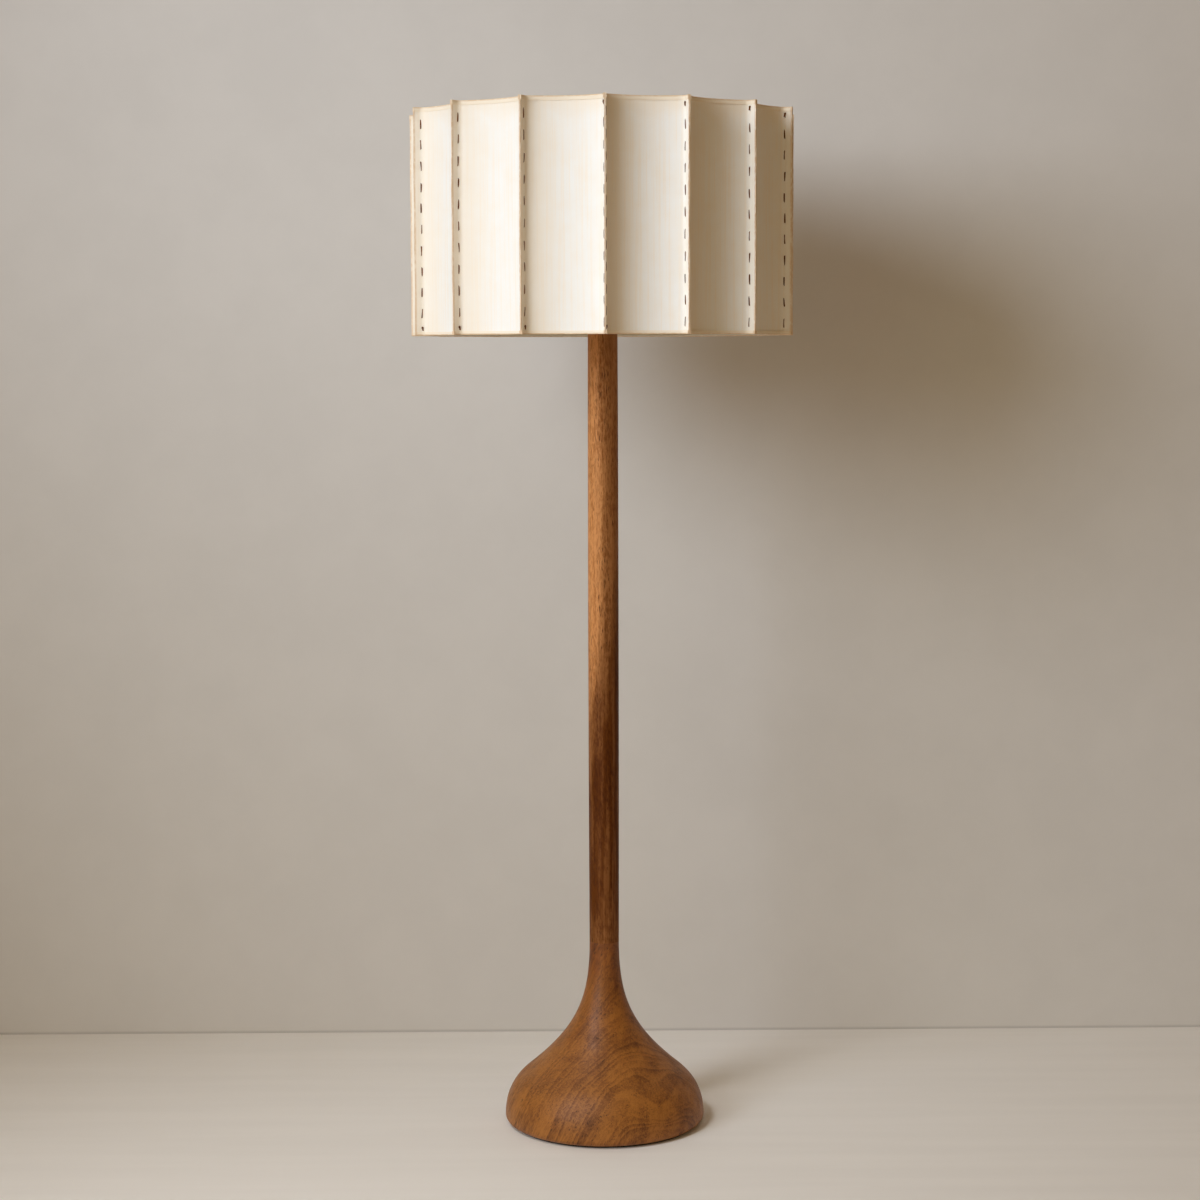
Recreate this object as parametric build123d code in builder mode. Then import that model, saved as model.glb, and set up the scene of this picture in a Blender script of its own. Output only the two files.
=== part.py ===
from build123d import *
import math
import os

# Floor lamp: a turned wood foot and post carry a socket, a harp and a drum shade
# of hollow fabric panels joined in stitched fins. Millimetres, +Z up, the origin
# at the middle of the footprint on the floor, the front towards -Y.

# Clearances
WELD_GAP = 0.1  # between wires of the shade frame that are welded together
SEAT_GAP = 0.3  # at rest, between a moving piece and what it sits on
LOOSE_FIT = 0.3  # all round a piece that is dropped into a recess
RUN_FIT = 0.06  # all round a shaft that turns or a sleeve that slides

# Felt pad and turned foot
PAD_THICKNESS = 3.0
PAD_INSET = 1.5  # from the flat of the foot
BELL_RADIUS = 149.5
BELL_EDGE = 9.0  # rounding of the lower edge
BELL_HEIGHT = 275.0  # floor to the joint with the post
SHOULDER_PULL = 43.0  # how far the side stays upright before it leans in
FLARE_RADIUS = 114.0  # where the outline turns from rounded to hollow
FLARE_HEIGHT = 81.5
FLARE_LEAN = 50.0  # degrees from upright at that place
FLARE_PULL_BELOW = 11.0
FLARE_PULL_ABOVE = 97.0
NECK_PULL = 86.0  # how far down the neck stays nearly upright

# Iron weight, its screws and the way out for the cord
WEIGHT_RADIUS = 112.0
WEIGHT_THICKNESS = 18.0
NUT_RECESS_RADIUS = 17.0
NUT_RECESS_DEPTH = 13.0
CORD_SLOT_WIDTH = 10.0
SCREW_COUNT = 3
SCREW_CIRCLE_RADIUS = 85.0
SCREW_RADIUS = 2.4
SCREW_HEAD_RADIUS = 4.8
SCREW_LENGTH = 34.0
CORD_HEIGHT = 14.0  # of the cord's way out above the floor
BUSHING_BORE = 3.5
BUSHING_RADIUS = 5.0
BUSHING_LENGTH = 22.0
BUSHING_FLANGE_RADIUS = 6.5
BUSHING_FLANGE = 2.0

# Lamp pipe and what clamps it
PIPE_RADIUS = 5.0
PIPE_BORE = 3.5
PIPE_END_ABOVE_PAD = 2.5
PIPE_INTO_CAP = 9.0
WASHER_RADIUS = 14.0
WASHER_THICKNESS = 2.0
NUT_ACROSS_FLATS = 17.0
NUT_THICKNESS = 5.0

# Turned post
POST_TO_SHADE_TOP = 264.0  # from the post's head up to the top of the shade
POST_FOOT_RADIUS = 22.0
POST_BELLY_RADIUS = 22.6
POST_HEAD_RADIUS = 21.7
POST_EDGE = 1.5
TENON_RADIUS = 11.0
TENON_LENGTH = 35.0
CHECK_PLATE_RADIUS = 24.0
CHECK_PLATE_THICKNESS = 4.0

# Harp saddle and harp
SADDLE_THICKNESS = 2.0
SADDLE_WIDTH = 12.0
SADDLE_SPAN = 27.0  # from the middle of the lamp to each leg of the harp
SADDLE_BEND = 5.0
SADDLE_RISE = 17.0
TONGUE_HEIGHT = 8.0
HARP_WIRE = 4.4
HARP_LEG = 30.0
HARP_HALF_WIDTH = 57.0
HARP_FLARE = 45.0  # height over which the legs spread
HARP_TAPER = 70.0  # height over which the wires close in below the bar
HARP_BENDS = (28.0, 45.0, 60.0, 9.0)  # from a leg up to the bar
BAR_LENGTH = 34.0
BAR_WIDTH = 12.0
BAR_THICKNESS = 3.0
FERRULE_LENGTH = 15.0
FERRULE_RADIUS = 4.0

# Swivel stud and finial
STUD_PIVOT_RADIUS = 3.0
STUD_HEAD_RADIUS = 4.6
STUD_HEAD = 2.0
STUD_COLLAR_RADIUS = 5.5
STUD_COLLAR = 5.5
STUD_THREAD_RADIUS = 3.175
STUD_THREAD = 18.0
FINIAL_FOOT_RADIUS = 8.0
FINIAL_FOOT = 3.0
FINIAL_NECK_RADIUS = 4.8
FINIAL_NECK = 4.0
FINIAL_BALL_RADIUS = 8.0

# Socket
SOCKET_RADIUS = 20.0
SOCKET_WALL = 0.8
SOCKET_CAP_HEIGHT = 16.0
SOCKET_CAP_NECK = 8.5
SOCKET_CAP_COLLAR = 3.0
SOCKET_SHELL_HEIGHT = 44.0
SLEEVE_THICKNESS = 0.7
SLEEVE_SHORT = 5.0  # below the rim of the shell
CORE_RADIUS = 17.0
CORE_HEIGHT = 22.0
CORE_FLAT = 14.0  # half width across the terminal flats
SCREW_SHELL_BORE = 13.2
SCREW_SHELL_WALL = 0.5
SCREW_SHELL_HEIGHT = 24.0
CONTACT_RADIUS = 4.0
CONTACT_HEIGHT = 2.0
TERMINAL_RADIUS = 3.0
TERMINAL_HEAD = 2.0
TERMINAL_SHANK_RADIUS = 1.5
TERMINAL_SHANK = 6.0

# Turn switch
SWITCH_HEIGHT = 12.0  # above the foot of the socket core
SWITCH_SHAFT_RADIUS = 2.5
SWITCH_SHAFT_ROOT = 9.0  # from the middle of the lamp
SWITCH_SHAFT_REACH = 40.0
KEY_LENGTH = 15.0
KEY_HALF_WIDTH = 8.0
KEY_HEIGHT = 4.6
KEY_BOSS_RADIUS = 4.2
KEY_GRIP = 8.0  # how much of the shaft the key takes in

# Bulb
BULB_CAP_RADIUS = 13.1
BULB_TIP_RADIUS = 4.5
BULB_TIP_HEIGHT = 1.6
BULB_INSULATOR_HEIGHT = 4.0
BULB_INSULATOR_RADIUS = 11.0
BULB_CAP_HEIGHT = 19.5
BULB_RADIUS = 30.0
BULB_LENGTH = 108.0
BULB_WALL = 1.0

# Drum shade
PANEL_COUNT = 15
SHADE_TOP = 1500.0
SHADE_HEIGHT = 321.0
CREST_RADIUS = 283.0  # outer edge of the fins
COVE_DEPTH = 31.0  # from the crest in to the outer face at the middle of a panel
FIN_DEPTH = 13.0  # from the crest in to the corner of the hollow
ROOT_BEND = 10.0  # rounding of that corner
CLOTH = 1.0
SEAM_GAP = 0.2  # between the two layers of a fin
TOP_HEM = 6.0
BOTTOM_HEM = 4.5
HEM_FOLD = 0.6  # how much a turned hem stands out
RING_WIRE = 3.6
RING_BEND = 6.0
RING_TO_EDGE = 0.6  # from a hem's edge to the ring wire
RIB_WIRE = 2.6
SPIDER_DROP = 15.0  # from the shade's top to the underside of the hub
HUB_RADIUS = 16.0
HUB_THICKNESS = 2.0
ARM_COUNT = 3
ARM_WIRE = 4.0
ARM_ROOT_RADIUS = 8.5
ARM_RISE_INSET = 32.0  # from the ring in to where an arm starts to rise
ARM_END_INSET = 10.0
ARM_BEND = 14.0

# Heights that follow from the sizes above
cord_slot_depth = CORD_HEIGHT + BUSHING_BORE + LOOSE_FIT - PAD_THICKNESS
washer_top = PAD_THICKNESS + NUT_RECESS_DEPTH
nut_top = washer_top - WASHER_THICKNESS
post_top = SHADE_TOP - POST_TO_SHADE_TOP
plate_top = post_top + CHECK_PLATE_THICKNESS
lock_nut_top = plate_top + NUT_THICKNESS
saddle_top = lock_nut_top + SADDLE_THICKNESS
tongue_root = saddle_top + SADDLE_RISE - TONGUE_HEIGHT
tongue_top = saddle_top + SADDLE_RISE
pipe_top = saddle_top + PIPE_INTO_CAP
cap_top = saddle_top + SOCKET_CAP_HEIGHT
shell_top = cap_top + SOCKET_SHELL_HEIGHT
core_top = cap_top + CORE_HEIGHT
contact_top = core_top + CONTACT_HEIGHT
switch_z = cap_top + SWITCH_HEIGHT
bulb_foot = contact_top + SEAT_GAP
hub_foot = SHADE_TOP - SPIDER_DROP
hub_top = hub_foot + HUB_THICKNESS
bar_top = hub_foot - SEAT_GAP - STUD_COLLAR - SEAT_GAP
bar_foot = bar_top - BAR_THICKNESS

pipe_hole = PIPE_RADIUS + LOOSE_FIT
pocket_radius = WEIGHT_RADIUS + LOOSE_FIT
underside = Plane(origin=(0, 0, PAD_THICKNESS), x_dir=(1, 0, 0), z_dir=(0, 0, -1))

os.makedirs("parts", exist_ok=True)


def write(piece, name):
    """Label a finished piece and write it under the same name."""
    piece.part.label = name
    export_step(piece.part, f"parts/{name}.step")


# Felt pad
with BuildPart() as base_pad:
    with BuildSketch():
        Circle(BELL_RADIUS - BELL_EDGE - PAD_INSET)
    extrude(amount=PAD_THICKNESS)
write(base_pad, "base_pad")

# Foot: rounded bell below, hollow flare above, ending upright at the post
lean_in = -math.sin(math.radians(FLARE_LEAN))
lean_up = math.cos(math.radians(FLARE_LEAN))
edge_middle = (BELL_RADIUS - BELL_EDGE, PAD_THICKNESS + BELL_EDGE)
bell_side = (BELL_RADIUS, PAD_THICKNESS + BELL_EDGE)
bell_turn = (FLARE_RADIUS, FLARE_HEIGHT)
bell_neck = (POST_FOOT_RADIUS, BELL_HEIGHT)
with BuildPart() as base_bell:
    with BuildSketch(Plane.XZ):
        with BuildLine():
            Line((0, PAD_THICKNESS), (BELL_RADIUS - BELL_EDGE, PAD_THICKNESS))
            CenterArc(edge_middle, BELL_EDGE, -90, 90)
            Bezier(
                bell_side,
                (bell_side[0], bell_side[1] + SHOULDER_PULL),
                (bell_turn[0] - FLARE_PULL_BELOW * lean_in, bell_turn[1] - FLARE_PULL_BELOW * lean_up),
                bell_turn,
            )
            Bezier(
                bell_turn,
                (bell_turn[0] + FLARE_PULL_ABOVE * lean_in, bell_turn[1] + FLARE_PULL_ABOVE * lean_up),
                (bell_neck[0], bell_neck[1] - NECK_PULL),
                bell_neck,
            )
            Polyline(bell_neck, (0, BELL_HEIGHT), (0, PAD_THICKNESS))
        make_face()
    revolve(axis=Axis.Z)
    with BuildSketch(Plane.XY.offset(PAD_THICKNESS)):
        Circle(pocket_radius)
    extrude(amount=WEIGHT_THICKNESS, mode=Mode.SUBTRACT)
    with BuildSketch(Plane.XY.offset(BELL_HEIGHT)):
        Circle(TENON_RADIUS + LOOSE_FIT)
    extrude(amount=-TENON_LENGTH - LOOSE_FIT, mode=Mode.SUBTRACT)
    with Locations((0, 0, BELL_HEIGHT)):
        Hole(pipe_hole, BELL_HEIGHT)
    with Locations(Plane(origin=(0, BELL_RADIUS, CORD_HEIGHT), z_dir=(0, 1, 0))):
        CounterBoreHole(
            BUSHING_RADIUS + RUN_FIT,
            BUSHING_FLANGE_RADIUS + RUN_FIT,
            BUSHING_FLANGE,
            BELL_RADIUS - WEIGHT_RADIUS,
        )
    with Locations(underside.offset(-WEIGHT_THICKNESS)):
        with PolarLocations(SCREW_CIRCLE_RADIUS, SCREW_COUNT, start_angle=-30):
            Hole(SCREW_RADIUS + RUN_FIT, SCREW_LENGTH - WEIGHT_THICKNESS + 1)
write(base_bell, "base_bell")

# Iron weight with a recess for the nut and a slot for the cord
with BuildPart() as base_weight:
    with BuildSketch(Plane.XY.offset(PAD_THICKNESS)):
        Circle(WEIGHT_RADIUS)
    extrude(amount=WEIGHT_THICKNESS)
    with Locations(underside):
        CounterBoreHole(pipe_hole, NUT_RECESS_RADIUS, NUT_RECESS_DEPTH)
    with BuildSketch(Plane.XY.offset(PAD_THICKNESS)):
        with Locations((0, WEIGHT_RADIUS / 2)):
            Rectangle(CORD_SLOT_WIDTH, WEIGHT_RADIUS)
    extrude(amount=cord_slot_depth, mode=Mode.SUBTRACT)
    with Locations(underside):
        with PolarLocations(SCREW_CIRCLE_RADIUS, SCREW_COUNT, start_angle=-30):
            CounterSinkHole(SCREW_RADIUS + LOOSE_FIT, SCREW_HEAD_RADIUS + LOOSE_FIT)
write(base_weight, "base_weight")

# Countersunk wood screws that hold the weight
head_height = SCREW_HEAD_RADIUS - SCREW_RADIUS
with BuildPart() as weight_screws:
    with Locations(underside):
        with PolarLocations(SCREW_CIRCLE_RADIUS, SCREW_COUNT, start_angle=-30):
            with Locations((0, 0, -head_height / 2)):
                Cone(SCREW_RADIUS, SCREW_HEAD_RADIUS, head_height)
            with Locations((0, 0, -head_height)):
                Cylinder(
                    SCREW_RADIUS,
                    SCREW_LENGTH - head_height,
                    align=(Align.CENTER, Align.CENTER, Align.MAX),
                )
write(weight_screws, "weight_screws")

# Bushing where the cord leaves at the back
with BuildPart() as cord_bushing:
    with BuildSketch(Plane(origin=(0, BELL_RADIUS, CORD_HEIGHT), z_dir=(0, -1, 0))):
        Circle(BUSHING_FLANGE_RADIUS)
    extrude(amount=BUSHING_FLANGE)
    with BuildSketch(Plane(origin=(0, BELL_RADIUS, CORD_HEIGHT), z_dir=(0, -1, 0))):
        Circle(BUSHING_RADIUS)
    extrude(amount=BUSHING_LENGTH)
    fillet(cord_bushing.faces().sort_by(Axis.Y)[-1].edges(), BUSHING_FLANGE / 3)
    with Locations(Plane(origin=(0, BELL_RADIUS, CORD_HEIGHT), z_dir=(0, 1, 0))):
        Hole(BUSHING_BORE, BUSHING_LENGTH)
write(cord_bushing, "cord_bushing")

# Lamp pipe from the weight up into the socket
with BuildPart() as stem_pipe:
    with BuildSketch(Plane.XY.offset(PAD_THICKNESS + PIPE_END_ABOVE_PAD)):
        Circle(PIPE_RADIUS)
        Circle(PIPE_BORE, mode=Mode.SUBTRACT)
    extrude(amount=pipe_top - PAD_THICKNESS - PIPE_END_ABOVE_PAD)
write(stem_pipe, "stem_pipe")

# Washer and nut under the weight
with BuildPart() as stem_washer:
    with BuildSketch(Plane.XY.offset(nut_top)):
        Circle(WASHER_RADIUS)
        Circle(PIPE_RADIUS + LOOSE_FIT, mode=Mode.SUBTRACT)
    extrude(amount=WASHER_THICKNESS)
write(stem_washer, "stem_washer")


def hex_nut(foot):
    """A nut that stands on the given height, bored for the lamp pipe."""
    with BuildPart() as nut:
        with BuildSketch(Plane.XY.offset(foot)):
            RegularPolygon(NUT_ACROSS_FLATS / 2, 6, major_radius=False)
        extrude(amount=NUT_THICKNESS)
        chamfer(nut.edges().filter_by(Axis.Z, reverse=True), NUT_THICKNESS / 10)
        with Locations((0, 0, foot + NUT_THICKNESS)):
            Hole(PIPE_RADIUS + RUN_FIT, NUT_THICKNESS)
    return nut


write(hex_nut(nut_top - NUT_THICKNESS), "stem_nut")
write(hex_nut(plate_top), "lock_nut")

# Turned post with a slight belly and a tenon into the foot
with BuildPart() as post:
    with BuildSketch(Plane.XZ) as post_section:
        with BuildLine():
            ThreePointArc(
                (POST_FOOT_RADIUS, BELL_HEIGHT),
                (POST_BELLY_RADIUS, (BELL_HEIGHT + post_top) / 2),
                (POST_HEAD_RADIUS, post_top),
            )
            Polyline(
                (POST_HEAD_RADIUS, post_top),
                (0, post_top),
                (0, BELL_HEIGHT - TENON_LENGTH),
                (TENON_RADIUS, BELL_HEIGHT - TENON_LENGTH),
                (TENON_RADIUS, BELL_HEIGHT),
                (POST_FOOT_RADIUS, BELL_HEIGHT),
            )
        make_face()
        fillet(post_section.vertices().group_by(Axis.Y)[-1].sort_by(Axis.X)[-1], POST_EDGE)
    revolve(axis=Axis.Z)
    with Locations((0, 0, post_top)):
        Hole(pipe_hole, post_top)
write(post, "post")

# Brass plate that closes the top of the post
with BuildPart() as check_plate:
    with BuildSketch(Plane.XY.offset(post_top)):
        Circle(CHECK_PLATE_RADIUS)
    extrude(amount=CHECK_PLATE_THICKNESS)
    fillet(check_plate.edges(), CHECK_PLATE_THICKNESS * 0.3)
    with Locations((0, 0, plate_top)):
        Hole(pipe_hole, CHECK_PLATE_THICKNESS)
write(check_plate, "check_plate")

# Saddle: a strap bent up at both ends, each ending in a tongue for a leg of the harp
with BuildPart() as harp_saddle:
    with BuildSketch(Plane.XZ):
        with BuildLine() as strap_line:
            Polyline(
                (-SADDLE_SPAN - SADDLE_THICKNESS / 2, tongue_root),
                (-SADDLE_SPAN - SADDLE_THICKNESS / 2, lock_nut_top),
                (SADDLE_SPAN + SADDLE_THICKNESS / 2, lock_nut_top),
                (SADDLE_SPAN + SADDLE_THICKNESS / 2, tongue_root),
            )
            fillet(strap_line.vertices().group_by(Axis.Y)[0], SADDLE_BEND)
            offset(amount=-SADDLE_THICKNESS, side=Side.LEFT, closed=True)
        make_face()
    extrude(amount=SADDLE_WIDTH / 2, both=True)
    with Locations((0, 0, saddle_top)):
        Hole(pipe_hole, SADDLE_THICKNESS)
    with BuildSketch(Plane.XY.offset(tongue_root)):
        with Locations((-SADDLE_SPAN, 0), (SADDLE_SPAN, 0)):
            Rectangle(SADDLE_THICKNESS, HARP_WIRE)
        with Locations((-SADDLE_SPAN, 0), (SADDLE_SPAN, 0)):
            Circle(HARP_WIRE / 2, mode=Mode.INTERSECT)
    extrude(amount=TONGUE_HEIGHT)
write(harp_saddle, "harp_saddle")

# Harp: one wire bent to shape, with a pierced bar across the top
with BuildPart() as harp:
    with BuildLine(Plane.XZ) as half_wire:
        FilletPolyline(
            (SADDLE_SPAN, tongue_top + WELD_GAP),
            (SADDLE_SPAN, tongue_top + HARP_LEG),
            (HARP_HALF_WIDTH, tongue_top + HARP_LEG + HARP_FLARE),
            (HARP_HALF_WIDTH, bar_foot - HARP_TAPER),
            (BAR_LENGTH / 2, bar_foot + BAR_THICKNESS / 2),
            (BAR_LENGTH / 4, bar_foot + BAR_THICKNESS / 2),
            radius=HARP_BENDS,
        )
    with BuildSketch(Plane(origin=half_wire.line @ 0, z_dir=half_wire.line % 0)):
        Circle(HARP_WIRE / 2)
    sweep()
    mirror(about=Plane.YZ)
    with BuildSketch(Plane.XY.offset(bar_foot)):
        SlotOverall(BAR_LENGTH, BAR_WIDTH)
    extrude(amount=BAR_THICKNESS)
    with Locations((0, 0, bar_top)):
        Hole(STUD_PIVOT_RADIUS + RUN_FIT, BAR_THICKNESS)
write(harp, "harp")


def ferrule(side):
    """The sleeve that locks one leg of the harp to its tongue, side being -1 or 1."""
    with BuildPart() as sleeve:
        with BuildSketch(Plane.XY.offset(tongue_root + SEAT_GAP)):
            with Locations((side * SADDLE_SPAN, 0)):
                Circle(FERRULE_RADIUS)
                Circle(HARP_WIRE / 2 + RUN_FIT, mode=Mode.SUBTRACT)
        extrude(amount=FERRULE_LENGTH)
        chamfer(sleeve.edges().group_by(Axis.Z)[-1].sort_by(SortBy.LENGTH)[-1], FERRULE_RADIUS / 5)
    return sleeve


write(ferrule(-1), "ferrule_left")
write(ferrule(1), "ferrule_right")

# Swivel stud riveted through the bar
with BuildPart() as harp_stud:
    with BuildSketch(Plane.XY.offset(bar_foot - SEAT_GAP - STUD_HEAD)):
        Circle(STUD_HEAD_RADIUS)
    extrude(amount=STUD_HEAD)
    fillet(harp_stud.edges().sort_by(Axis.Z)[0], STUD_HEAD / 2)
    with BuildSketch(Plane.XY.offset(bar_foot - SEAT_GAP)):
        Circle(STUD_PIVOT_RADIUS)
    extrude(amount=BAR_THICKNESS + 2 * SEAT_GAP)
    with BuildSketch(Plane.XY.offset(bar_top + SEAT_GAP)):
        Circle(STUD_COLLAR_RADIUS)
    extrude(amount=STUD_COLLAR)
    with BuildSketch(Plane.XY.offset(bar_top + SEAT_GAP + STUD_COLLAR)):
        Circle(STUD_THREAD_RADIUS)
    extrude(amount=STUD_THREAD)
    chamfer(harp_stud.edges().sort_by(Axis.Z)[-1], STUD_THREAD_RADIUS / 5)
write(harp_stud, "harp_stud")

# Finial: a ball on a foot, bored from below for the stud
finial_foot = hub_top + SEAT_GAP
neck_in_ball = math.sqrt(FINIAL_BALL_RADIUS**2 - FINIAL_NECK_RADIUS**2)
ball_middle = finial_foot + FINIAL_FOOT + FINIAL_NECK + neck_in_ball
with BuildPart() as finial:
    with BuildSketch(Plane.XY.offset(finial_foot)):
        Circle(FINIAL_FOOT_RADIUS)
    extrude(amount=FINIAL_FOOT)
    fillet(finial.edges().sort_by(Axis.Z)[-1], FINIAL_FOOT / 3)
    with BuildSketch(Plane.XY.offset(finial_foot + FINIAL_FOOT)):
        Circle(FINIAL_NECK_RADIUS)
    extrude(amount=FINIAL_NECK)
    with Locations((0, 0, ball_middle)):
        Sphere(FINIAL_BALL_RADIUS)
    with Locations(Plane(origin=(0, 0, finial_foot), z_dir=(0, 0, -1))):
        Hole(STUD_THREAD_RADIUS + RUN_FIT, STUD_THREAD - HUB_THICKNESS + 1)
write(finial, "finial")

# Socket cap: a cup that screws onto the lamp pipe
cap_bend = SOCKET_RADIUS - SOCKET_CAP_NECK
cap_shoulder = saddle_top + SOCKET_CAP_COLLAR
cap_side = cap_shoulder + cap_bend
with BuildPart() as socket_cap:
    with BuildSketch(Plane.XZ):
        with BuildLine() as cup:
            Polyline((0, saddle_top), (SOCKET_CAP_NECK, saddle_top), (SOCKET_CAP_NECK, cap_shoulder))
            RadiusArc((SOCKET_CAP_NECK, cap_shoulder), (SOCKET_RADIUS, cap_side), -cap_bend)
            Polyline((SOCKET_RADIUS, cap_side), (SOCKET_RADIUS, cap_top), (0, cap_top), (0, saddle_top))
        make_face()
    revolve(axis=Axis.Z)
    offset(amount=-SOCKET_WALL, openings=socket_cap.faces().sort_by(Axis.Z)[-1])
    with BuildSketch(Plane.XY.offset(saddle_top)):
        Circle(PIPE_RADIUS + LOOSE_FIT + 1.5)
    extrude(amount=PIPE_INTO_CAP)
    with Locations((0, 0, cap_top)):
        Hole(PIPE_RADIUS + RUN_FIT, SOCKET_CAP_HEIGHT)
write(socket_cap, "socket_cap")

# Socket shell: a thin tube with a rolled rim, pierced for the switch shaft
switch_axis = Plane(origin=(0, -SOCKET_RADIUS - SEAT_GAP, switch_z), z_dir=(0, -1, 0))
with BuildPart() as socket_shell:
    with BuildSketch(Plane.XY.offset(cap_top)):
        Circle(SOCKET_RADIUS)
        Circle(SOCKET_RADIUS - SOCKET_WALL, mode=Mode.SUBTRACT)
    extrude(amount=SOCKET_SHELL_HEIGHT)
    with Locations((0, 0, shell_top - SOCKET_WALL)):
        Torus(SOCKET_RADIUS - SOCKET_WALL / 2, SOCKET_WALL)
    with Locations(switch_axis):
        Hole(SWITCH_SHAFT_RADIUS + LOOSE_FIT, SOCKET_RADIUS)
write(socket_shell, "socket_shell")

# Insulating sleeve inside the shell
sleeve_radius = SOCKET_RADIUS - SOCKET_WALL - RUN_FIT
with BuildPart() as socket_sleeve:
    with BuildSketch(Plane.XY.offset(cap_top)):
        Circle(sleeve_radius)
        Circle(sleeve_radius - SLEEVE_THICKNESS, mode=Mode.SUBTRACT)
    extrude(amount=SOCKET_SHELL_HEIGHT - SLEEVE_SHORT)
    with Locations(switch_axis):
        Hole(SWITCH_SHAFT_RADIUS + LOOSE_FIT, SOCKET_RADIUS)
write(socket_sleeve, "socket_sleeve")

# Socket core: moulded block with two terminal flats and the bearing of the switch
terminal_z = cap_top + CORE_HEIGHT / 2
with BuildPart() as socket_core:
    with BuildSketch(Plane.XY.offset(cap_top)):
        Circle(CORE_RADIUS)
        Rectangle(2 * CORE_FLAT, 2 * CORE_RADIUS, mode=Mode.INTERSECT)
    extrude(amount=CORE_HEIGHT)
    with Locations(switch_axis):
        Hole(SWITCH_SHAFT_RADIUS + RUN_FIT, SOCKET_RADIUS + SEAT_GAP - SWITCH_SHAFT_ROOT + SEAT_GAP)
    for side in (-1, 1):
        with Locations(Plane(origin=(side * CORE_FLAT, 0, terminal_z), z_dir=(side, 0, 0))):
            Hole(TERMINAL_SHANK_RADIUS + RUN_FIT, TERMINAL_SHANK + SEAT_GAP)
write(socket_core, "socket_core")

# Terminal screws on the two flats
with BuildPart() as terminal_screws:
    for side in (-1, 1):
        flat = Plane(origin=(side * CORE_FLAT, 0, terminal_z), z_dir=(side, 0, 0))
        with BuildSketch(flat):
            Circle(TERMINAL_RADIUS)
        extrude(amount=TERMINAL_HEAD)
        with BuildSketch(flat):
            Circle(TERMINAL_SHANK_RADIUS)
        extrude(amount=-TERMINAL_SHANK)
write(terminal_screws, "terminal_screws")

# Screw shell that takes the bulb
with BuildPart() as screw_shell:
    with BuildSketch(Plane.XY.offset(core_top)):
        Circle(SCREW_SHELL_BORE + SCREW_SHELL_WALL)
        Circle(SCREW_SHELL_BORE, mode=Mode.SUBTRACT)
    extrude(amount=SCREW_SHELL_HEIGHT)
write(screw_shell, "screw_shell")

# Centre contact under the bulb's tip
with BuildPart() as centre_contact:
    with BuildSketch(Plane.XY.offset(core_top)):
        Circle(CONTACT_RADIUS)
    extrude(amount=CONTACT_HEIGHT)
    fillet(centre_contact.edges().sort_by(Axis.Z)[-1], CONTACT_HEIGHT / 2)
write(centre_contact, "centre_contact")

# Turn switch: shaft in the core, key on its outer end
shaft_start = Plane(origin=(0, -SWITCH_SHAFT_ROOT, switch_z), z_dir=(0, -1, 0))
with BuildPart() as switch_shaft:
    with BuildSketch(shaft_start):
        Circle(SWITCH_SHAFT_RADIUS)
    extrude(amount=SWITCH_SHAFT_REACH - SWITCH_SHAFT_ROOT)
write(switch_shaft, "switch_shaft")

key_start = shaft_start.offset(SWITCH_SHAFT_REACH - SWITCH_SHAFT_ROOT - KEY_GRIP)
with BuildPart() as switch_key:
    with BuildSketch(key_start):
        Circle(KEY_BOSS_RADIUS)
    extrude(amount=KEY_LENGTH / 3)
    with BuildSketch(key_start.offset(KEY_LENGTH / 3)):
        RectangleRounded(2 * KEY_HALF_WIDTH, KEY_HEIGHT, KEY_HEIGHT * 0.45)
    extrude(amount=KEY_LENGTH * 2 / 3)
    fillet(switch_key.faces().sort_by(Axis.Y)[0].edges(), KEY_HEIGHT * 0.3)
    with Locations(Plane(origin=key_start.origin, z_dir=(0, 1, 0))):
        Hole(SWITCH_SHAFT_RADIUS, KEY_GRIP)
write(switch_key, "switch_key")

# Bulb: tip, insulator, screw cap and globe
insulator_foot = bulb_foot + BULB_TIP_HEIGHT
bulb_cap_foot = insulator_foot + BULB_INSULATOR_HEIGHT
bulb_cap_top = bulb_cap_foot + BULB_CAP_HEIGHT
globe_middle = bulb_foot + BULB_LENGTH - BULB_RADIUS
with BuildPart() as bulb_tip:
    with BuildSketch(Plane.XY.offset(bulb_foot)):
        Circle(BULB_TIP_RADIUS)
    extrude(amount=BULB_TIP_HEIGHT)
    fillet(bulb_tip.edges().sort_by(Axis.Z)[0], BULB_TIP_HEIGHT / 2)
write(bulb_tip, "bulb_tip")

with BuildPart() as bulb_insulator:
    with BuildSketch(Plane.XY.offset(insulator_foot)):
        Circle(BULB_TIP_RADIUS)
    with BuildSketch(Plane.XY.offset(bulb_cap_foot)):
        Circle(BULB_INSULATOR_RADIUS)
    loft()
write(bulb_insulator, "bulb_insulator")

with BuildPart() as bulb_cap:
    with BuildSketch(Plane.XY.offset(bulb_cap_foot)):
        Circle(BULB_CAP_RADIUS)
    extrude(amount=BULB_CAP_HEIGHT)
    chamfer(bulb_cap.edges().sort_by(Axis.Z)[0], BULB_CAP_RADIUS - BULB_INSULATOR_RADIUS)
write(bulb_cap, "bulb_cap")

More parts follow.
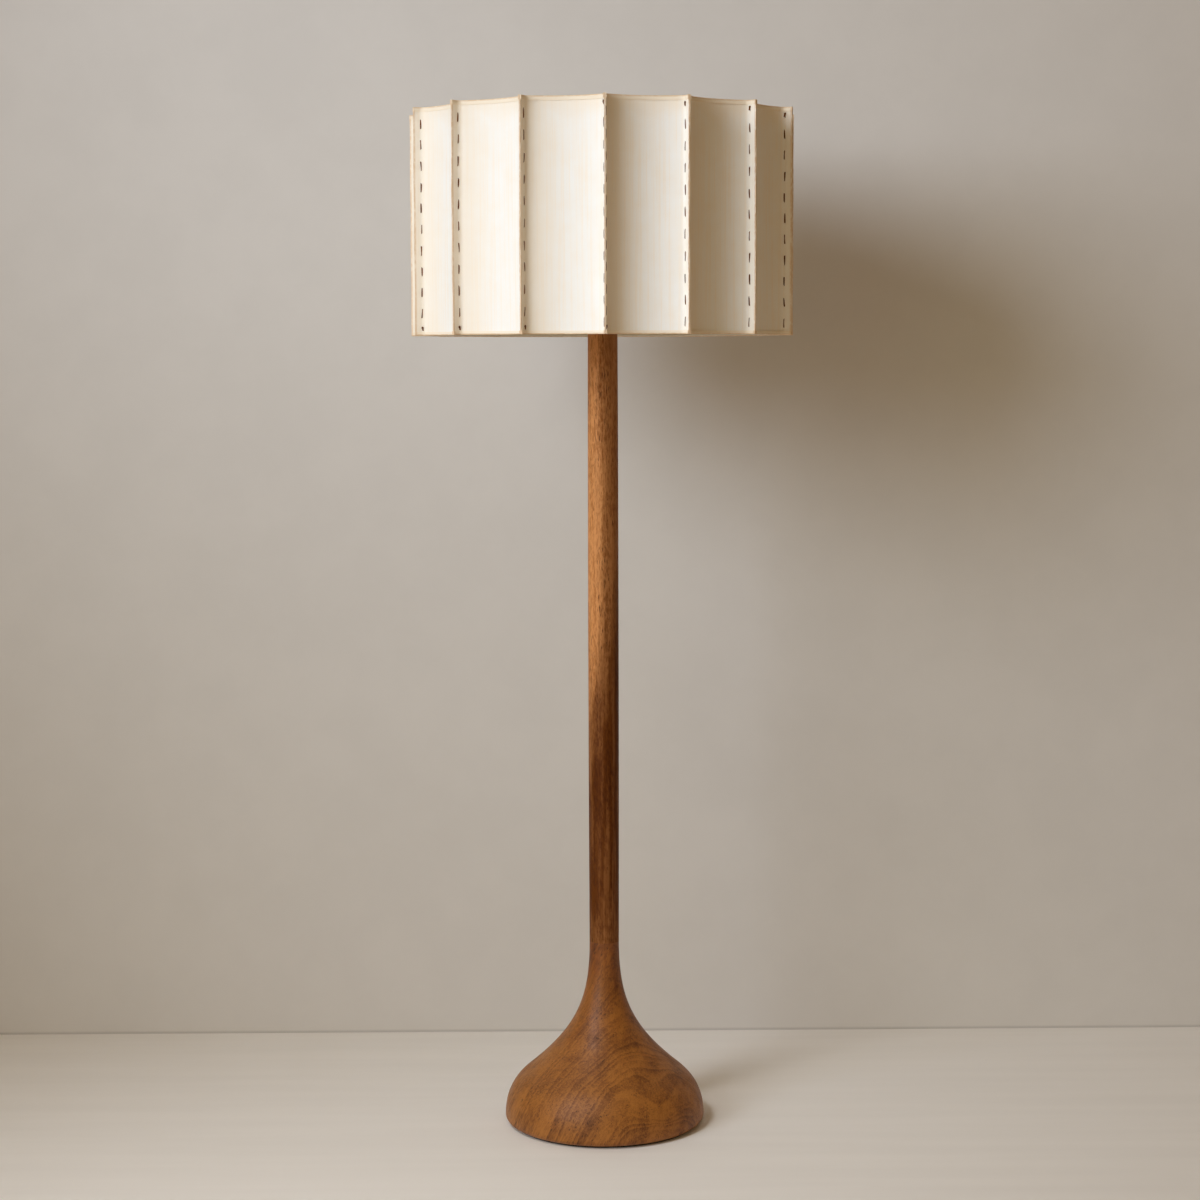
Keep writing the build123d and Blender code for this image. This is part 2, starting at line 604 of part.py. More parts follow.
# The neck is a hollow arc, upright at the cap and running smoothly into the globe
globe_rise = globe_middle - bulb_cap_top
neck_radius = (globe_rise**2 + BULB_CAP_RADIUS**2 - BULB_RADIUS**2) / (2 * (BULB_RADIUS - BULB_CAP_RADIUS))
neck_turn = math.degrees(math.atan2(globe_rise, BULB_CAP_RADIUS + neck_radius))
with BuildPart() as bulb_globe:
    with BuildSketch(Plane.XZ):
        with BuildLine():
            Line((0, bulb_cap_top), (BULB_CAP_RADIUS, bulb_cap_top))
            CenterArc((BULB_CAP_RADIUS + neck_radius, bulb_cap_top), neck_radius, 180, -neck_turn)
            CenterArc((0, globe_middle), BULB_RADIUS, -neck_turn, 90 + neck_turn)
            Line((0, globe_middle + BULB_RADIUS), (0, bulb_cap_top))
        make_face()
    revolve(axis=Axis.Z)
    offset(amount=-BULB_WALL, openings=bulb_globe.faces().sort_by(Axis.Z)[0])
write(bulb_globe, "bulb_globe")

# Plan of the shade. Panel 0 is to the right of the front fin. In a panel's own plan
# its middle lies on +X, and each of its two fins runs along a ray half a panel away.
half_panel = math.pi / PANEL_COUNT
panel_pitch = 360 / PANEL_COUNT
shade_foot = SHADE_TOP - SHADE_HEIGHT
fin_face = SEAM_GAP / 2 + CLOTH  # from the middle of a fin to its outer face
cove_radius = CREST_RADIUS - COVE_DEPTH
corner_radius = CREST_RADIUS - FIN_DEPTH


def panel_angle(index):
    """Direction of a panel's middle in degrees."""
    return -90 + (index + 0.5) * panel_pitch


def on_fin(radius, side):
    """The point on a fin's outer face at a distance from the lamp's axis."""
    across = fin_face / radius
    return Vector(radius * math.cos(half_panel - across), side * radius * math.sin(half_panel - across))


# The hollow of a panel is one arc through both corners and the middle
corner = on_fin(corner_radius, 1)
hollow_sag = corner.X - cove_radius
hollow_radius = (corner.Y**2 + hollow_sag**2) / (2 * hollow_sag)
hollow_centre = cove_radius + hollow_radius


def hollow_on_seam(reach):
    """Where an arc round a hollow's centre crosses the ray of a fin, seen from the axis."""
    along = hollow_centre * math.cos(half_panel)
    aside = hollow_centre * math.sin(half_panel)
    return along - math.sqrt(reach**2 - aside**2)


def cloth_band(thickness, side):
    """A closed outline of a panel's cloth, or of its hem, on one side of the outer face."""
    with BuildLine() as band:
        Line(on_fin(CREST_RADIUS, 1), on_fin(corner_radius, 1))
        ThreePointArc(on_fin(corner_radius, 1), (cove_radius, 0), on_fin(corner_radius, -1))
        Line(on_fin(corner_radius, -1), on_fin(CREST_RADIUS, -1))
        fillet(band.vertices().sort_by(Axis.X)[:2], ROOT_BEND)
        offset(amount=thickness, side=side, closed=True)
    return band


# Cloth panels, each with its hems turned outwards at the top and bottom
for index in range(PANEL_COUNT):
    facing = Plane.XY.rotated((0, 0, panel_angle(index)))
    with BuildPart() as shade_panel:
        with BuildSketch(facing.offset(shade_foot)):
            add(cloth_band(CLOTH, Side.LEFT))
            make_face()
        extrude(amount=SHADE_HEIGHT)
        for hem_foot, hem_height in ((shade_foot, BOTTOM_HEM), (SHADE_TOP - TOP_HEM, TOP_HEM)):
            with BuildSketch(facing.offset(hem_foot)):
                add(cloth_band(HEM_FOLD, Side.RIGHT))
                make_face()
            extrude(amount=hem_height)
    write(shade_panel, f"shade_panel_{index + 1:02d}")

# Ring wires: bent parallel to the hollows, with a rounded point at each seam
ring_inset = CLOTH + WELD_GAP + RING_WIRE / 2
ring_seam = hollow_on_seam(hollow_radius + ring_inset)
ring_middle = cove_radius - ring_inset
ring_tip = hollow_on_seam(hollow_radius + ring_inset + RING_BEND) + RING_BEND
top_ring_z = SHADE_TOP - RING_TO_EDGE - RING_WIRE / 2
bottom_ring_z = shade_foot + RING_TO_EDGE + RING_WIRE / 2


def scalloped_ring(height):
    """One ring of the shade frame at a height above the floor."""
    with BuildPart() as ring:
        with BuildLine(Plane.XY.offset(height)) as path:
            for index in range(PANEL_COUNT):
                ThreePointArc(
                    PolarLine((0, 0), ring_seam, panel_angle(index - 0.5), mode=Mode.PRIVATE) @ 1,
                    PolarLine((0, 0), ring_middle, panel_angle(index), mode=Mode.PRIVATE) @ 1,
                    PolarLine((0, 0), ring_seam, panel_angle(index + 0.5), mode=Mode.PRIVATE) @ 1,
                )
            fillet(path.vertices(), RING_BEND)
        with BuildSketch(Plane(origin=path.line @ 0, z_dir=path.line % 0)):
            Circle(RING_WIRE / 2)
        sweep()
    return ring


write(scalloped_ring(top_ring_z), "shade_top_ring")
write(scalloped_ring(bottom_ring_z), "shade_bottom_ring")

# Upright ribs, welded outside the points of both rings, inside the seams
rib_circle = ring_tip + RING_WIRE / 2 + WELD_GAP + RIB_WIRE / 2
with BuildPart() as shade_ribs:
    with BuildSketch(Plane.XY.offset(shade_foot + RING_TO_EDGE)):
        with PolarLocations(rib_circle, PANEL_COUNT, start_angle=panel_angle(-0.5)):
            Circle(RIB_WIRE / 2)
    extrude(amount=SHADE_HEIGHT - 2 * RING_TO_EDGE)
write(shade_ribs, "shade_ribs")


def upright_plane(angle):
    """A plane through the lamp's axis, with its x outwards at an angle and its y up."""
    outwards = Vector(1, 0, 0).rotate(Axis.Z, angle)
    return Plane(origin=(0, 0, 0), x_dir=outwards, z_dir=outwards.rotate(Axis.Z, -90))


# Spider: a pierced hub, and arms that drop from the top ring to its underside
with BuildPart() as spider_hub:
    with BuildSketch(Plane.XY.offset(hub_foot)):
        Circle(HUB_RADIUS)
    extrude(amount=HUB_THICKNESS)
    fillet(spider_hub.edges(), HUB_THICKNESS * 0.3)
    with Locations((0, 0, hub_top)):
        Hole(STUD_THREAD_RADIUS + RUN_FIT, HUB_THICKNESS)
write(spider_hub, "spider_hub")

arm_z = hub_foot - WELD_GAP - ARM_WIRE / 2
arm_end = ring_middle - RING_WIRE / 2 - WELD_GAP
with BuildPart() as spider_arms:
    for index in range(ARM_COUNT):
        towards = panel_angle(PANEL_COUNT // ARM_COUNT * index + PANEL_COUNT // ARM_COUNT // 2)
        with BuildLine(upright_plane(towards)) as route:
            FilletPolyline(
                (ARM_ROOT_RADIUS, arm_z),
                (arm_end - ARM_RISE_INSET, arm_z),
                (arm_end - ARM_END_INSET, top_ring_z),
                (arm_end, top_ring_z),
                radius=ARM_BEND,
            )
        with BuildSketch(Plane(origin=route.line @ 0, z_dir=route.line % 0)):
            Circle(ARM_WIRE / 2)
        sweep(path=route.line)
write(spider_arms, "spider_arms")
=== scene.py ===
import logging
import math
import random
from contextlib import contextmanager
from dataclasses import dataclass, field
from enum import Enum
from functools import cache
from typing import Callable, Iterator, Sequence

import bpy
import numpy as np
from mathutils import Euler, Matrix, Vector


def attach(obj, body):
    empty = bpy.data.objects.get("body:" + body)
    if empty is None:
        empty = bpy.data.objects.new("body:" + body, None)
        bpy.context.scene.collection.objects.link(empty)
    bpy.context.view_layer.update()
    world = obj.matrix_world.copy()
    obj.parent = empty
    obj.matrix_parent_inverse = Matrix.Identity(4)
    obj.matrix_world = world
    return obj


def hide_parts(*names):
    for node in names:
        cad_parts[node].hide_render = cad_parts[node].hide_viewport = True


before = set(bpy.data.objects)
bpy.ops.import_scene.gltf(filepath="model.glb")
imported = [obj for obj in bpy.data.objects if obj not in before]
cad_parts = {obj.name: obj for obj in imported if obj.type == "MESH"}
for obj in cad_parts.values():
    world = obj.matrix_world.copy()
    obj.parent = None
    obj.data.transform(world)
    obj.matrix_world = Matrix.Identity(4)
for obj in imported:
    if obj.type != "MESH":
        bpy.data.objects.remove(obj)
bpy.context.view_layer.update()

log = logging.getLogger("floor_lamp")

Colour = tuple[float, float, float, float]
Outline = Sequence[tuple[float, float]]
Value = float | Colour | Sequence[float] | bpy.types.NodeSocket | bpy.types.Node

FULL_TURN = 2 * math.pi
# Heights in the lamp, and how much darker heartwood shows there
HEART_STOPS = ((0.08, 0.0), (0.2, 0.45), (0.275, 0.8), (0.34, 1.0), (0.58, 1.0), (0.69, 0.75), (0.84, 0.0), (1.3, 0.0))


def srgb(red: int, green: int, blue: int) -> Colour:
    """Turn a colour as a screen shows it into the linear one that shaders use.

    Args:
        red: Red from 0 to 255.
        green: Green from 0 to 255.
        blue: Blue from 0 to 255.

    Returns:
        The linear colour with full alpha.
    """

    def linear(level: int) -> float:
        """Undo the screen's curve for one channel."""
        share = level / 255
        return share / 12.92 if share <= 0.04045 else ((share + 0.055) / 1.055) ** 2.4

    return linear(red), linear(green), linear(blue), 1.0


# Modelling as by hand


def deselect_all() -> None:
    """Leave nothing selected and no piece in edit mode."""
    if bpy.context.mode != "OBJECT":
        bpy.ops.object.mode_set(mode="OBJECT")
    bpy.ops.object.select_all(action="DESELECT")


def pick(piece: bpy.types.Object) -> None:
    """Make a piece the only one selected, and active."""
    deselect_all()
    piece.select_set(True)
    bpy.context.view_layer.objects.active = piece


@contextmanager
def edit_mode(piece: bpy.types.Object) -> Iterator[None]:
    """Work on a piece in edit mode, with all of it selected at first.

    Args:
        piece: The mesh to edit.

    Yields:
        Nothing; the piece leaves edit mode at the end.
    """
    pick(piece)
    bpy.ops.object.mode_set(mode="EDIT")
    bpy.ops.mesh.select_all(action="SELECT")
    yield
    bpy.ops.object.mode_set(mode="OBJECT")


def settle(piece: bpy.types.Object) -> bpy.types.Object:
    """Apply a piece's modifiers and its place, so that its object sits at the origin.

    Args:
        piece: The finished piece.

    Returns:
        The same piece.
    """
    pick(piece)
    for modifier in list(piece.modifiers):
        bpy.ops.object.modifier_apply(modifier=modifier.name)
    bpy.ops.object.transform_apply(location=True, rotation=True, scale=True)
    return piece


def smooth(piece: bpy.types.Object, angle: float = 35.0) -> None:
    """Shade a piece smooth, apart from edges sharper than an angle in degrees."""
    pick(piece)
    bpy.ops.object.shade_smooth_by_angle(angle=math.radians(angle))


def trace(name: str, outline: Outline) -> bpy.types.Object:
    """Extrude one vertex along an outline in the XZ plane.

    Args:
        name: The name of the new piece.
        outline: Distances from the lamp's axis and heights, in metres.

    Returns:
        A mesh of edges only.
    """
    points = [Vector((radius, 0.0, height)) for radius, height in outline]
    deselect_all()
    bpy.ops.mesh.primitive_plane_add(size=0.001, location=points[0])
    piece = bpy.context.object
    piece.name = piece.data.name = name
    with edit_mode(piece):
        bpy.ops.mesh.merge(type="CENTER")
        for start, end in zip(points, points[1:]):
            bpy.ops.mesh.extrude_region_move(TRANSFORM_OT_translate={"value": end - start})
    return settle(piece)


def lathe(name: str, outline: Outline, steps: int = 64, edge: float = 0.0) -> bpy.types.Object:
    """Turn an outline round the lamp's axis.

    Args:
        name: The name of the new piece.
        outline: Distances from the axis and heights, in metres. It starts and ends on the
            axis, or comes back to its first point.
        steps: How many strips the turn has.
        edge: How far sharp edges are rounded off, in metres.

    Returns:
        The closed piece.
    """
    piece = trace(name, outline)
    with edit_mode(piece):
        bpy.ops.mesh.spin(steps=steps, angle=FULL_TURN, center=(0, 0, 0), axis=(0, 0, 1))
        bpy.ops.mesh.select_all(action="SELECT")
        bpy.ops.mesh.remove_doubles(threshold=1e-6)
        bpy.ops.mesh.normals_make_consistent(inside=False)
    if edge:
        bevel = piece.modifiers.new("edge", "BEVEL")
        bevel.width = edge
        bevel.segments = 3
        bevel.limit_method = "ANGLE"
        bevel.angle_limit = math.radians(40)
        settle(piece)
    smooth(piece)
    return piece


def arc(centre: tuple[float, float], radius: float, start: float, end: float, parts: int) -> Outline:
    """Points on an arc of an outline.

    Args:
        centre: The arc's centre, as distance from the axis and height.
        radius: The arc's radius.
        start: Where it starts, in degrees from outwards, upwards positive.
        end: Where it ends.
        parts: How many runs it is cut into.

    Returns:
        The points, both ends included.
    """
    angles = [math.radians(start + (end - start) * part / parts) for part in range(parts + 1)]
    return [(centre[0] + radius * math.cos(a), centre[1] + radius * math.sin(a)) for a in angles]


def bezier(handles: Sequence[tuple[float, float]], parts: int) -> Outline:
    """Points on a cubic curve of an outline.

    Args:
        handles: Its four control points.
        parts: How many runs it is cut into.

    Returns:
        The points, both ends included.
    """
    share = np.linspace(0, 1, parts + 1)[:, None]
    first, second, third, fourth = np.array(handles)
    points = (
        (1 - share) ** 3 * first
        + 3 * (1 - share) ** 2 * share * second
        + 3 * (1 - share) * share**2 * third
        + share**3 * fourth
    )
    return [tuple(point) for point in points]


# Shader building blocks


class Wiring:
    """Adds nodes to one tree and joins them. A value may be a number, a colour or a socket."""

    def __init__(self, tree: bpy.types.NodeTree) -> None:
        """Work on a material's or a group's node tree."""
        self.tree = tree

    def add(self, kind: str, inputs: dict[str | int, Value] | None = None, **settings: object) -> bpy.types.Node:
        """Add one node.

        Args:
            kind: The node's type without its ShaderNode prefix.
            inputs: Values for its sockets, by name or number.
            settings: Values for the node's own options.

        Returns:
            The new node.
        """
        node = self.tree.nodes.new(f"ShaderNode{kind}")
        for option, setting in settings.items():
            setattr(node, option, setting)
        for socket, value in (inputs or {}).items():
            self.feed(node.inputs[socket], value)
        return node

    def feed(self, socket: bpy.types.NodeSocket, value: Value) -> None:
        """Give a socket a link or a plain value."""
        if isinstance(value, bpy.types.Node):
            value = value.outputs[0]
        if isinstance(value, bpy.types.NodeSocket):
            self.tree.links.new(value, socket)
        else:
            socket.default_value = value

    def math(self, operation: str, first: Value, second: Value = 0.0, clamp: bool = False) -> bpy.types.NodeSocket:
        """Join two numbers by an operation."""
        return self.add("Math", {0: first, 1: second}, operation=operation, use_clamp=clamp).outputs[0]

    def vector(self, operation: str, first: Value, second: Value = (0.0, 0.0, 0.0)) -> bpy.types.NodeSocket:
        """Join two vectors by an operation whose result is a vector."""
        return self.add("VectorMath", {0: first, 1: second}, operation=operation).outputs["Vector"]

    def noise(self, place: Value, scale: float, detail: float = 2.0, roughness: float = 0.5) -> bpy.types.NodeSocket:
        """A cloudy value from 0 to 1 at a place."""
        inputs = {"Vector": place, "Scale": scale, "Detail": detail, "Roughness": roughness}
        return self.add("TexNoise", inputs).outputs[0]

    def remap(self, value: Value, low: float, high: float, to_low: Value = 0.0, to_high: Value = 1.0) -> bpy.types.NodeSocket:
        """Stretch a value smoothly from one span to another, and stop it at the ends."""
        inputs = {"Value": value, 1: low, 2: high, 3: to_low, 4: to_high}
        return self.add("MapRange", inputs, interpolation_type="SMOOTHSTEP").outputs[0]

    def mix(self, share: Value, first: Value, second: Value, mode: str = "MIX") -> bpy.types.NodeSocket:
        """Blend two colours."""
        return self.add("Mix", {0: share, 6: first, 7: second}, data_type="RGBA", blend_type=mode).outputs[2]

    def place(self) -> bpy.types.NodeSocket:
        """Where a point is on the object, in metres."""
        return self.add("TexCoord").outputs["Object"]

    def flat_place(self) -> bpy.types.NodeSocket:
        """Where a point is on the unrolled piece, in metres."""
        return self.add("TexCoord").outputs["UV"]

    def bump(self, height: Value, depth: float) -> bpy.types.NodeSocket:
        """Tilt the surface by a height from 0 to 1, which is `depth` metres high."""
        return self.add("Bump", {"Height": height, "Distance": depth, "Strength": 1.0}).outputs[0]

    def use(self, group: bpy.types.NodeTree, inputs: dict[str, Value]) -> bpy.types.Node:
        """Place a node group with its own values."""
        node = self.add("Group", node_tree=group)
        for socket, value in inputs.items():
            self.feed(node.inputs[socket], value)
        return node


class Kind(Enum):
    """What a group's socket carries."""

    NUMBER = "NodeSocketFloat"
    COLOUR = "NodeSocketColor"
    VECTOR = "NodeSocketVector"


def start_group(name: str, takes: dict[str, Kind], gives: dict[str, Kind]) -> tuple[Wiring, dict, dict]:
    """Start a node group.

    Args:
        name: The group's name.
        takes: Its inputs.
        gives: Its outputs.

    Returns:
        The wiring inside it, the sockets that its inputs arrive at, and those that its
        outputs leave from.
    """
    tree = bpy.data.node_groups.new(name, "ShaderNodeTree")
    for socket, kind in takes.items():
        tree.interface.new_socket(name=socket, in_out="INPUT", socket_type=kind.value)
    for socket, kind in gives.items():
        tree.interface.new_socket(name=socket, in_out="OUTPUT", socket_type=kind.value)
    arriving = tree.nodes.new("NodeGroupInput").outputs
    leaving = tree.nodes.new("NodeGroupOutput").inputs
    return Wiring(tree), {n: arriving[n] for n in takes}, {n: leaving[n] for n in gives}


@cache
def log_grain() -> bpy.types.NodeTree:
    """Timber cut from a log whose pith runs along Z: rings, figure, fibres and pores."""
    wire, given, result = start_group(
        "log_grain",
        {
            "Place": Kind.VECTOR,
            "Ring Width": Kind.NUMBER,
            "Wander": Kind.NUMBER,
            "Ring Share": Kind.NUMBER,
            "Figure Share": Kind.NUMBER,
            "Light": Kind.COLOUR,
            "Dark": Kind.COLOUR,
            "Pore": Kind.COLOUR,
            "Heart": Kind.COLOUR,
            "Heart Share": Kind.NUMBER,
            "Knot": Kind.VECTOR,
            "Knot Size": Kind.NUMBER,
            "Knot Rings": Kind.NUMBER,
            "Mottle Share": Kind.NUMBER,
        },
        {"Colour": Kind.COLOUR, "Gloss Loss": Kind.NUMBER, "Height": Kind.NUMBER},
    )
    along = wire.vector("MULTIPLY", given["Place"], (1.0, 1.0, 0.16))
    drift = wire.add("TexNoise", {"Vector": along, "Scale": 14.0, "Detail": 2.0}).outputs[1]
    drift = wire.vector("SUBTRACT", drift, (0.5, 0.5, 0.5))
    shift = wire.add("VectorMath", {0: drift, "Scale": given["Wander"]}, operation="SCALE").outputs[0]
    bent = wire.vector("ADD", given["Place"], shift)
    flat = wire.vector("MULTIPLY", bent, (1.0, 1.0, 0.0))
    from_pith = wire.add("VectorMath", {0: flat}, operation="LENGTH").outputs["Value"]
    from_knot = wire.add("VectorMath", {0: bent, 1: given["Knot"]}, operation="DISTANCE").outputs["Value"]
    from_knot = wire.math("DIVIDE", from_knot, given["Knot Size"])
    swell = wire.math("EXPONENT", wire.math("MULTIPLY", wire.math("MULTIPLY", from_knot, from_knot), -1.0))
    rings = wire.math("DIVIDE", from_pith, given["Ring Width"])
    rings = wire.math("ADD", rings, wire.math("MULTIPLY", swell, given["Knot Rings"]))
    uneven = wire.add("TexNoise", {"W": rings, "Scale": 0.43, "Detail": 1.0}, noise_dimensions="1D").outputs[0]
    rings = wire.math("ADD", rings, wire.math("MULTIPLY", uneven, 2.4))
    share = wire.math("FRACT", rings)
    rise = wire.remap(share, 0.05, 0.85)
    fall = wire.remap(share, 0.88, 1.0, 1.0, 0.0)
    ring = wire.math("MULTIPLY", rise, fall)
    strength = wire.add("TexNoise", {"W": rings, "Scale": 0.31, "Detail": 0.0}, noise_dimensions="1D").outputs[0]
    ring = wire.math("MULTIPLY", ring, wire.remap(strength, 0.35, 0.65, 0.25, 1.0))
    figure = wire.remap(wire.noise(along, 30.0, 3.0, 0.55), 0.35, 0.7)
    fibre_place = wire.vector("MULTIPLY", bent, (1.0, 1.0, 0.06))
    fibre = wire.noise(fibre_place, 620.0, 4.0, 0.7)
    tone = wire.math("MULTIPLY", ring, given["Ring Share"])
    tone = wire.math("ADD", tone, wire.math("MULTIPLY", figure, given["Figure Share"]))
    tone = wire.math("ADD", tone, wire.remap(fibre, 0.3, 0.7, -0.2, 0.2))
    mottle_place = wire.vector("MULTIPLY", bent, (1.0, 1.0, 0.3))
    mottle = wire.remap(wire.noise(mottle_place, 330.0, 3.0, 0.65), 0.32, 0.68, -1.0, 1.0)
    tone = wire.math("ADD", tone, wire.math("MULTIPLY", mottle, given["Mottle Share"]), clamp=True)
    colour = wire.mix(tone, given["Light"], given["Dark"])
    colour = wire.mix(given["Heart Share"], colour, given["Heart"], "MULTIPLY")
    pore_place = wire.vector("MULTIPLY", bent, (1.0, 1.0, 0.13))
    pores = wire.noise(pore_place, 640.0, 2.0, 0.5)
    crowd = wire.remap(wire.noise(along, 60.0, 1.0), 0.3, 0.7, 0.66, 0.57)
    pore = wire.math("SUBTRACT", pores, crowd)
    pore = wire.math("MULTIPLY", pore, 9.0, clamp=True)
    wire.feed(result["Colour"], wire.mix(wire.math("MULTIPLY", pore, 0.8), colour, given["Pore"]))
    wire.feed(result["Gloss Loss"], wire.math("ADD", pore, wire.math("MULTIPLY", tone, 0.3)))
    wire.feed(result["Height"], wire.math("SUBTRACT", wire.math("MULTIPLY", fibre, 0.3), pore))
    return wire.tree


@cache
def plain_weave() -> bpy.types.NodeTree:
    """Threads that pass over and under each other, with slubs along the upright ones."""
    wire, given, result = start_group(
        "plain_weave",
        {"Place": Kind.VECTOR, "Pitch": Kind.NUMBER},
        {"Height": Kind.NUMBER, "Slub": Kind.NUMBER},
    )
    turns = wire.add("VectorMath", {0: given["Place"], "Scale": 1.0}, operation="SCALE")
    wire.feed(turns.inputs["Scale"], wire.math("DIVIDE", math.pi, given["Pitch"]))
    split = wire.add("SeparateXYZ", {0: turns})
    across = wire.math("SINE", split.outputs["X"])
    upright = wire.math("SINE", split.outputs["Y"])
    over = wire.math("GREATER_THAN", wire.math("MULTIPLY", across, upright), 0.0)
    warp = wire.math("ABSOLUTE", across)
    weft = wire.math("ABSOLUTE", upright)
    height = wire.mix(over, warp, weft)
    streaks = wire.vector("MULTIPLY", given["Place"], (1.0, 0.015, 1.0))
    wire.feed(result["Height"], height)
    wire.feed(result["Slub"], wire.noise(streaks, 230.0, 3.0, 0.65))
    return wire.tree


@cache
def handling() -> bpy.types.NodeTree:
    """Marks that use leaves: cloudy dulling, and specks of dust."""
    wire, given, result = start_group(
        "handling",
        {"Place": Kind.VECTOR, "Low": Kind.NUMBER, "High": Kind.NUMBER},
        {"Roughness": Kind.NUMBER, "Dust": Kind.NUMBER, "Grain": Kind.NUMBER},
    )
    cloud = wire.noise(given["Place"], 55.0, 4.0, 0.6)
    spread = wire.add("MapRange", {"Value": cloud, 1: 0.3, 2: 0.7}, interpolation_type="SMOOTHSTEP")
    wire.feed(spread.inputs[3], given["Low"])
    wire.feed(spread.inputs[4], given["High"])
    wire.feed(result["Roughness"], spread)
    wire.feed(result["Dust"], wire.remap(wire.noise(given["Place"], 1800.0, 1.0), 0.68, 0.78))
    wire.feed(result["Grain"], wire.noise(given["Place"], 2600.0, 2.0))
    return wire.tree


def new_material(name: str) -> tuple[bpy.types.Material, Wiring, bpy.types.Node]:
    """Start a material.

    Args:
        name: The material's name.

    Returns:
        The material, its wiring and its surface shader.
    """
    material = bpy.data.materials.new(name)
    material.use_nodes = True
    return material, Wiring(material.node_tree), material.node_tree.nodes["Principled BSDF"]


class Finish:
    """Something that a piece can be dressed in."""

    name: str

    def build(self) -> bpy.types.Material:
        """Make the material."""
        raise NotImplementedError

    def dress(self, piece: bpy.types.Object) -> None:
        """Put this finish on a piece, in place of whatever it wears.

        Args:
            piece: A new piece or a solid from the frame.
        """
        piece.data.materials.clear()
        piece.data.materials.append(material_of(self))


@cache
def material_of(finish: Finish) -> bpy.types.Material:
    """The material of a finish, made only once."""
    return finish.build()


@dataclass(frozen=True)
class TurnedWood(Finish):
    """Oiled hardwood turned from one log.

    `turn` swings the log to the piece in degrees, and `pith` is where the middle of the log
    then runs, seen from the piece's own axis.
    """

    name: str
    turn: tuple[float, float, float]
    pith: tuple[float, float, float]
    knot: tuple[float, float, float] = (0.0, 0.0, 0.0)
    knot_size: float = 0.05
    knot_rings: float = 0.0
    heart_slant: float = 0.0
    painted_side_shade: float = 0.0
    light: Colour = srgb(168, 107, 45)
    dark: Colour = srgb(100, 54, 16)
    pore: Colour = srgb(48, 23, 8)
    heart: Colour = (0.5, 0.34, 0.2, 1.0)
    ring_width: float = 0.009
    wander: float = 0.03
    ring_share: float = 0.4
    figure_share: float = 0.45
    mottle_share: float = 0.2
    gloss: float = 0.35
    pore_depth: float = 0.0002

    def build(self) -> bpy.types.Material:
        """Make the material."""
        material, wire, shader = new_material(self.name)
        angles = [math.radians(angle) for angle in self.turn]
        place = wire.add("Mapping", {"Vector": wire.place(), "Location": self.pith, "Rotation": angles})
        grain = wire.use(
            log_grain(),
            {
                "Place": place,
                "Ring Width": self.ring_width,
                "Wander": self.wander,
                "Ring Share": self.ring_share,
                "Figure Share": self.figure_share,
                "Light": self.light,
                "Dark": self.dark,
                "Pore": self.pore,
                "Heart": self.heart,
                "Heart Share": self.heart_share(wire),
                "Knot": self.knot_in_log(),
                "Knot Size": self.knot_size,
                "Knot Rings": self.knot_rings,
                "Mottle Share": self.mottle_share,
            },
        )
        worn = wire.use(handling(), {"Place": wire.place(), "Low": 0.4, "High": 0.52})
        roughness = wire.math("ADD", worn.outputs["Roughness"], wire.math("MULTIPLY", grain.outputs["Gloss Loss"], 0.12))
        wire.feed(shader.inputs["Base Color"], grain.outputs["Colour"])
        wire.feed(shader.inputs["Roughness"], roughness)
        wire.feed(shader.inputs["Normal"], wire.bump(grain.outputs["Height"], self.pore_depth))
        shader.inputs["Specular IOR Level"].default_value = self.gloss
        return material

    def knot_in_log(self) -> Vector:
        """Where the knot is once the log is turned as the Mapping node turns it."""
        angles = Euler([math.radians(angle) for angle in self.turn], "XYZ")
        return angles.to_matrix() @ Vector(self.knot) + Vector(self.pith)

    def heart_share(self, wire: Wiring) -> bpy.types.NodeSocket:
        """How much heartwood shows at a point: its border slants and wavers, and painted shade darkens the post's
        right side, away from the key light, which also stands for a darker streak of grain there.
        """
        place = wire.add("SeparateXYZ", {0: wire.place()}).outputs
        slant = wire.remap(place["Z"], 0.4, 0.6, 0.0, self.heart_slant)
        height = wire.math("ADD", place["Z"], wire.math("MULTIPLY", place["X"], slant))
        stretched = wire.vector("MULTIPLY", wire.place(), (1.0, 1.0, 0.12))
        waver = wire.remap(wire.noise(stretched, 90.0, 3.0, 0.6), 0.2, 0.8, -0.05, 0.05)
        height = wire.math("DIVIDE", wire.math("ADD", height, waver), HEART_STOPS[-1][0])
        ramp = wire.add("ValToRGB", {0: height})
        ramp.color_ramp.interpolation = "EASE"
        for _ in HEART_STOPS[2:]:
            ramp.color_ramp.elements.new(0.5)
        for stop, (level, share) in zip(ramp.color_ramp.elements, HEART_STOPS):
            stop.position = level / HEART_STOPS[-1][0]
            stop.color = (share, share, share, 1.0)
        # Painted shade: the post's right side is pushed towards heartwood, partly standing for real darker grain along
        # that side.
        across = wire.math("ADD", place["X"], wire.math("MULTIPLY", waver, 0.1))
        side = wire.remap(across, -0.013, 0.008, 0.0, self.painted_side_shade)
        share = wire.math("MAXIMUM", ramp.outputs[0], side)
        streaks = wire.noise(wire.vector("MULTIPLY", wire.place(), (1.0, 1.0, 0.05)), 150.0, 2.0)
        return wire.math("MULTIPLY", share, wire.remap(streaks, 0.45, 0.68, 1.0, 0.82))


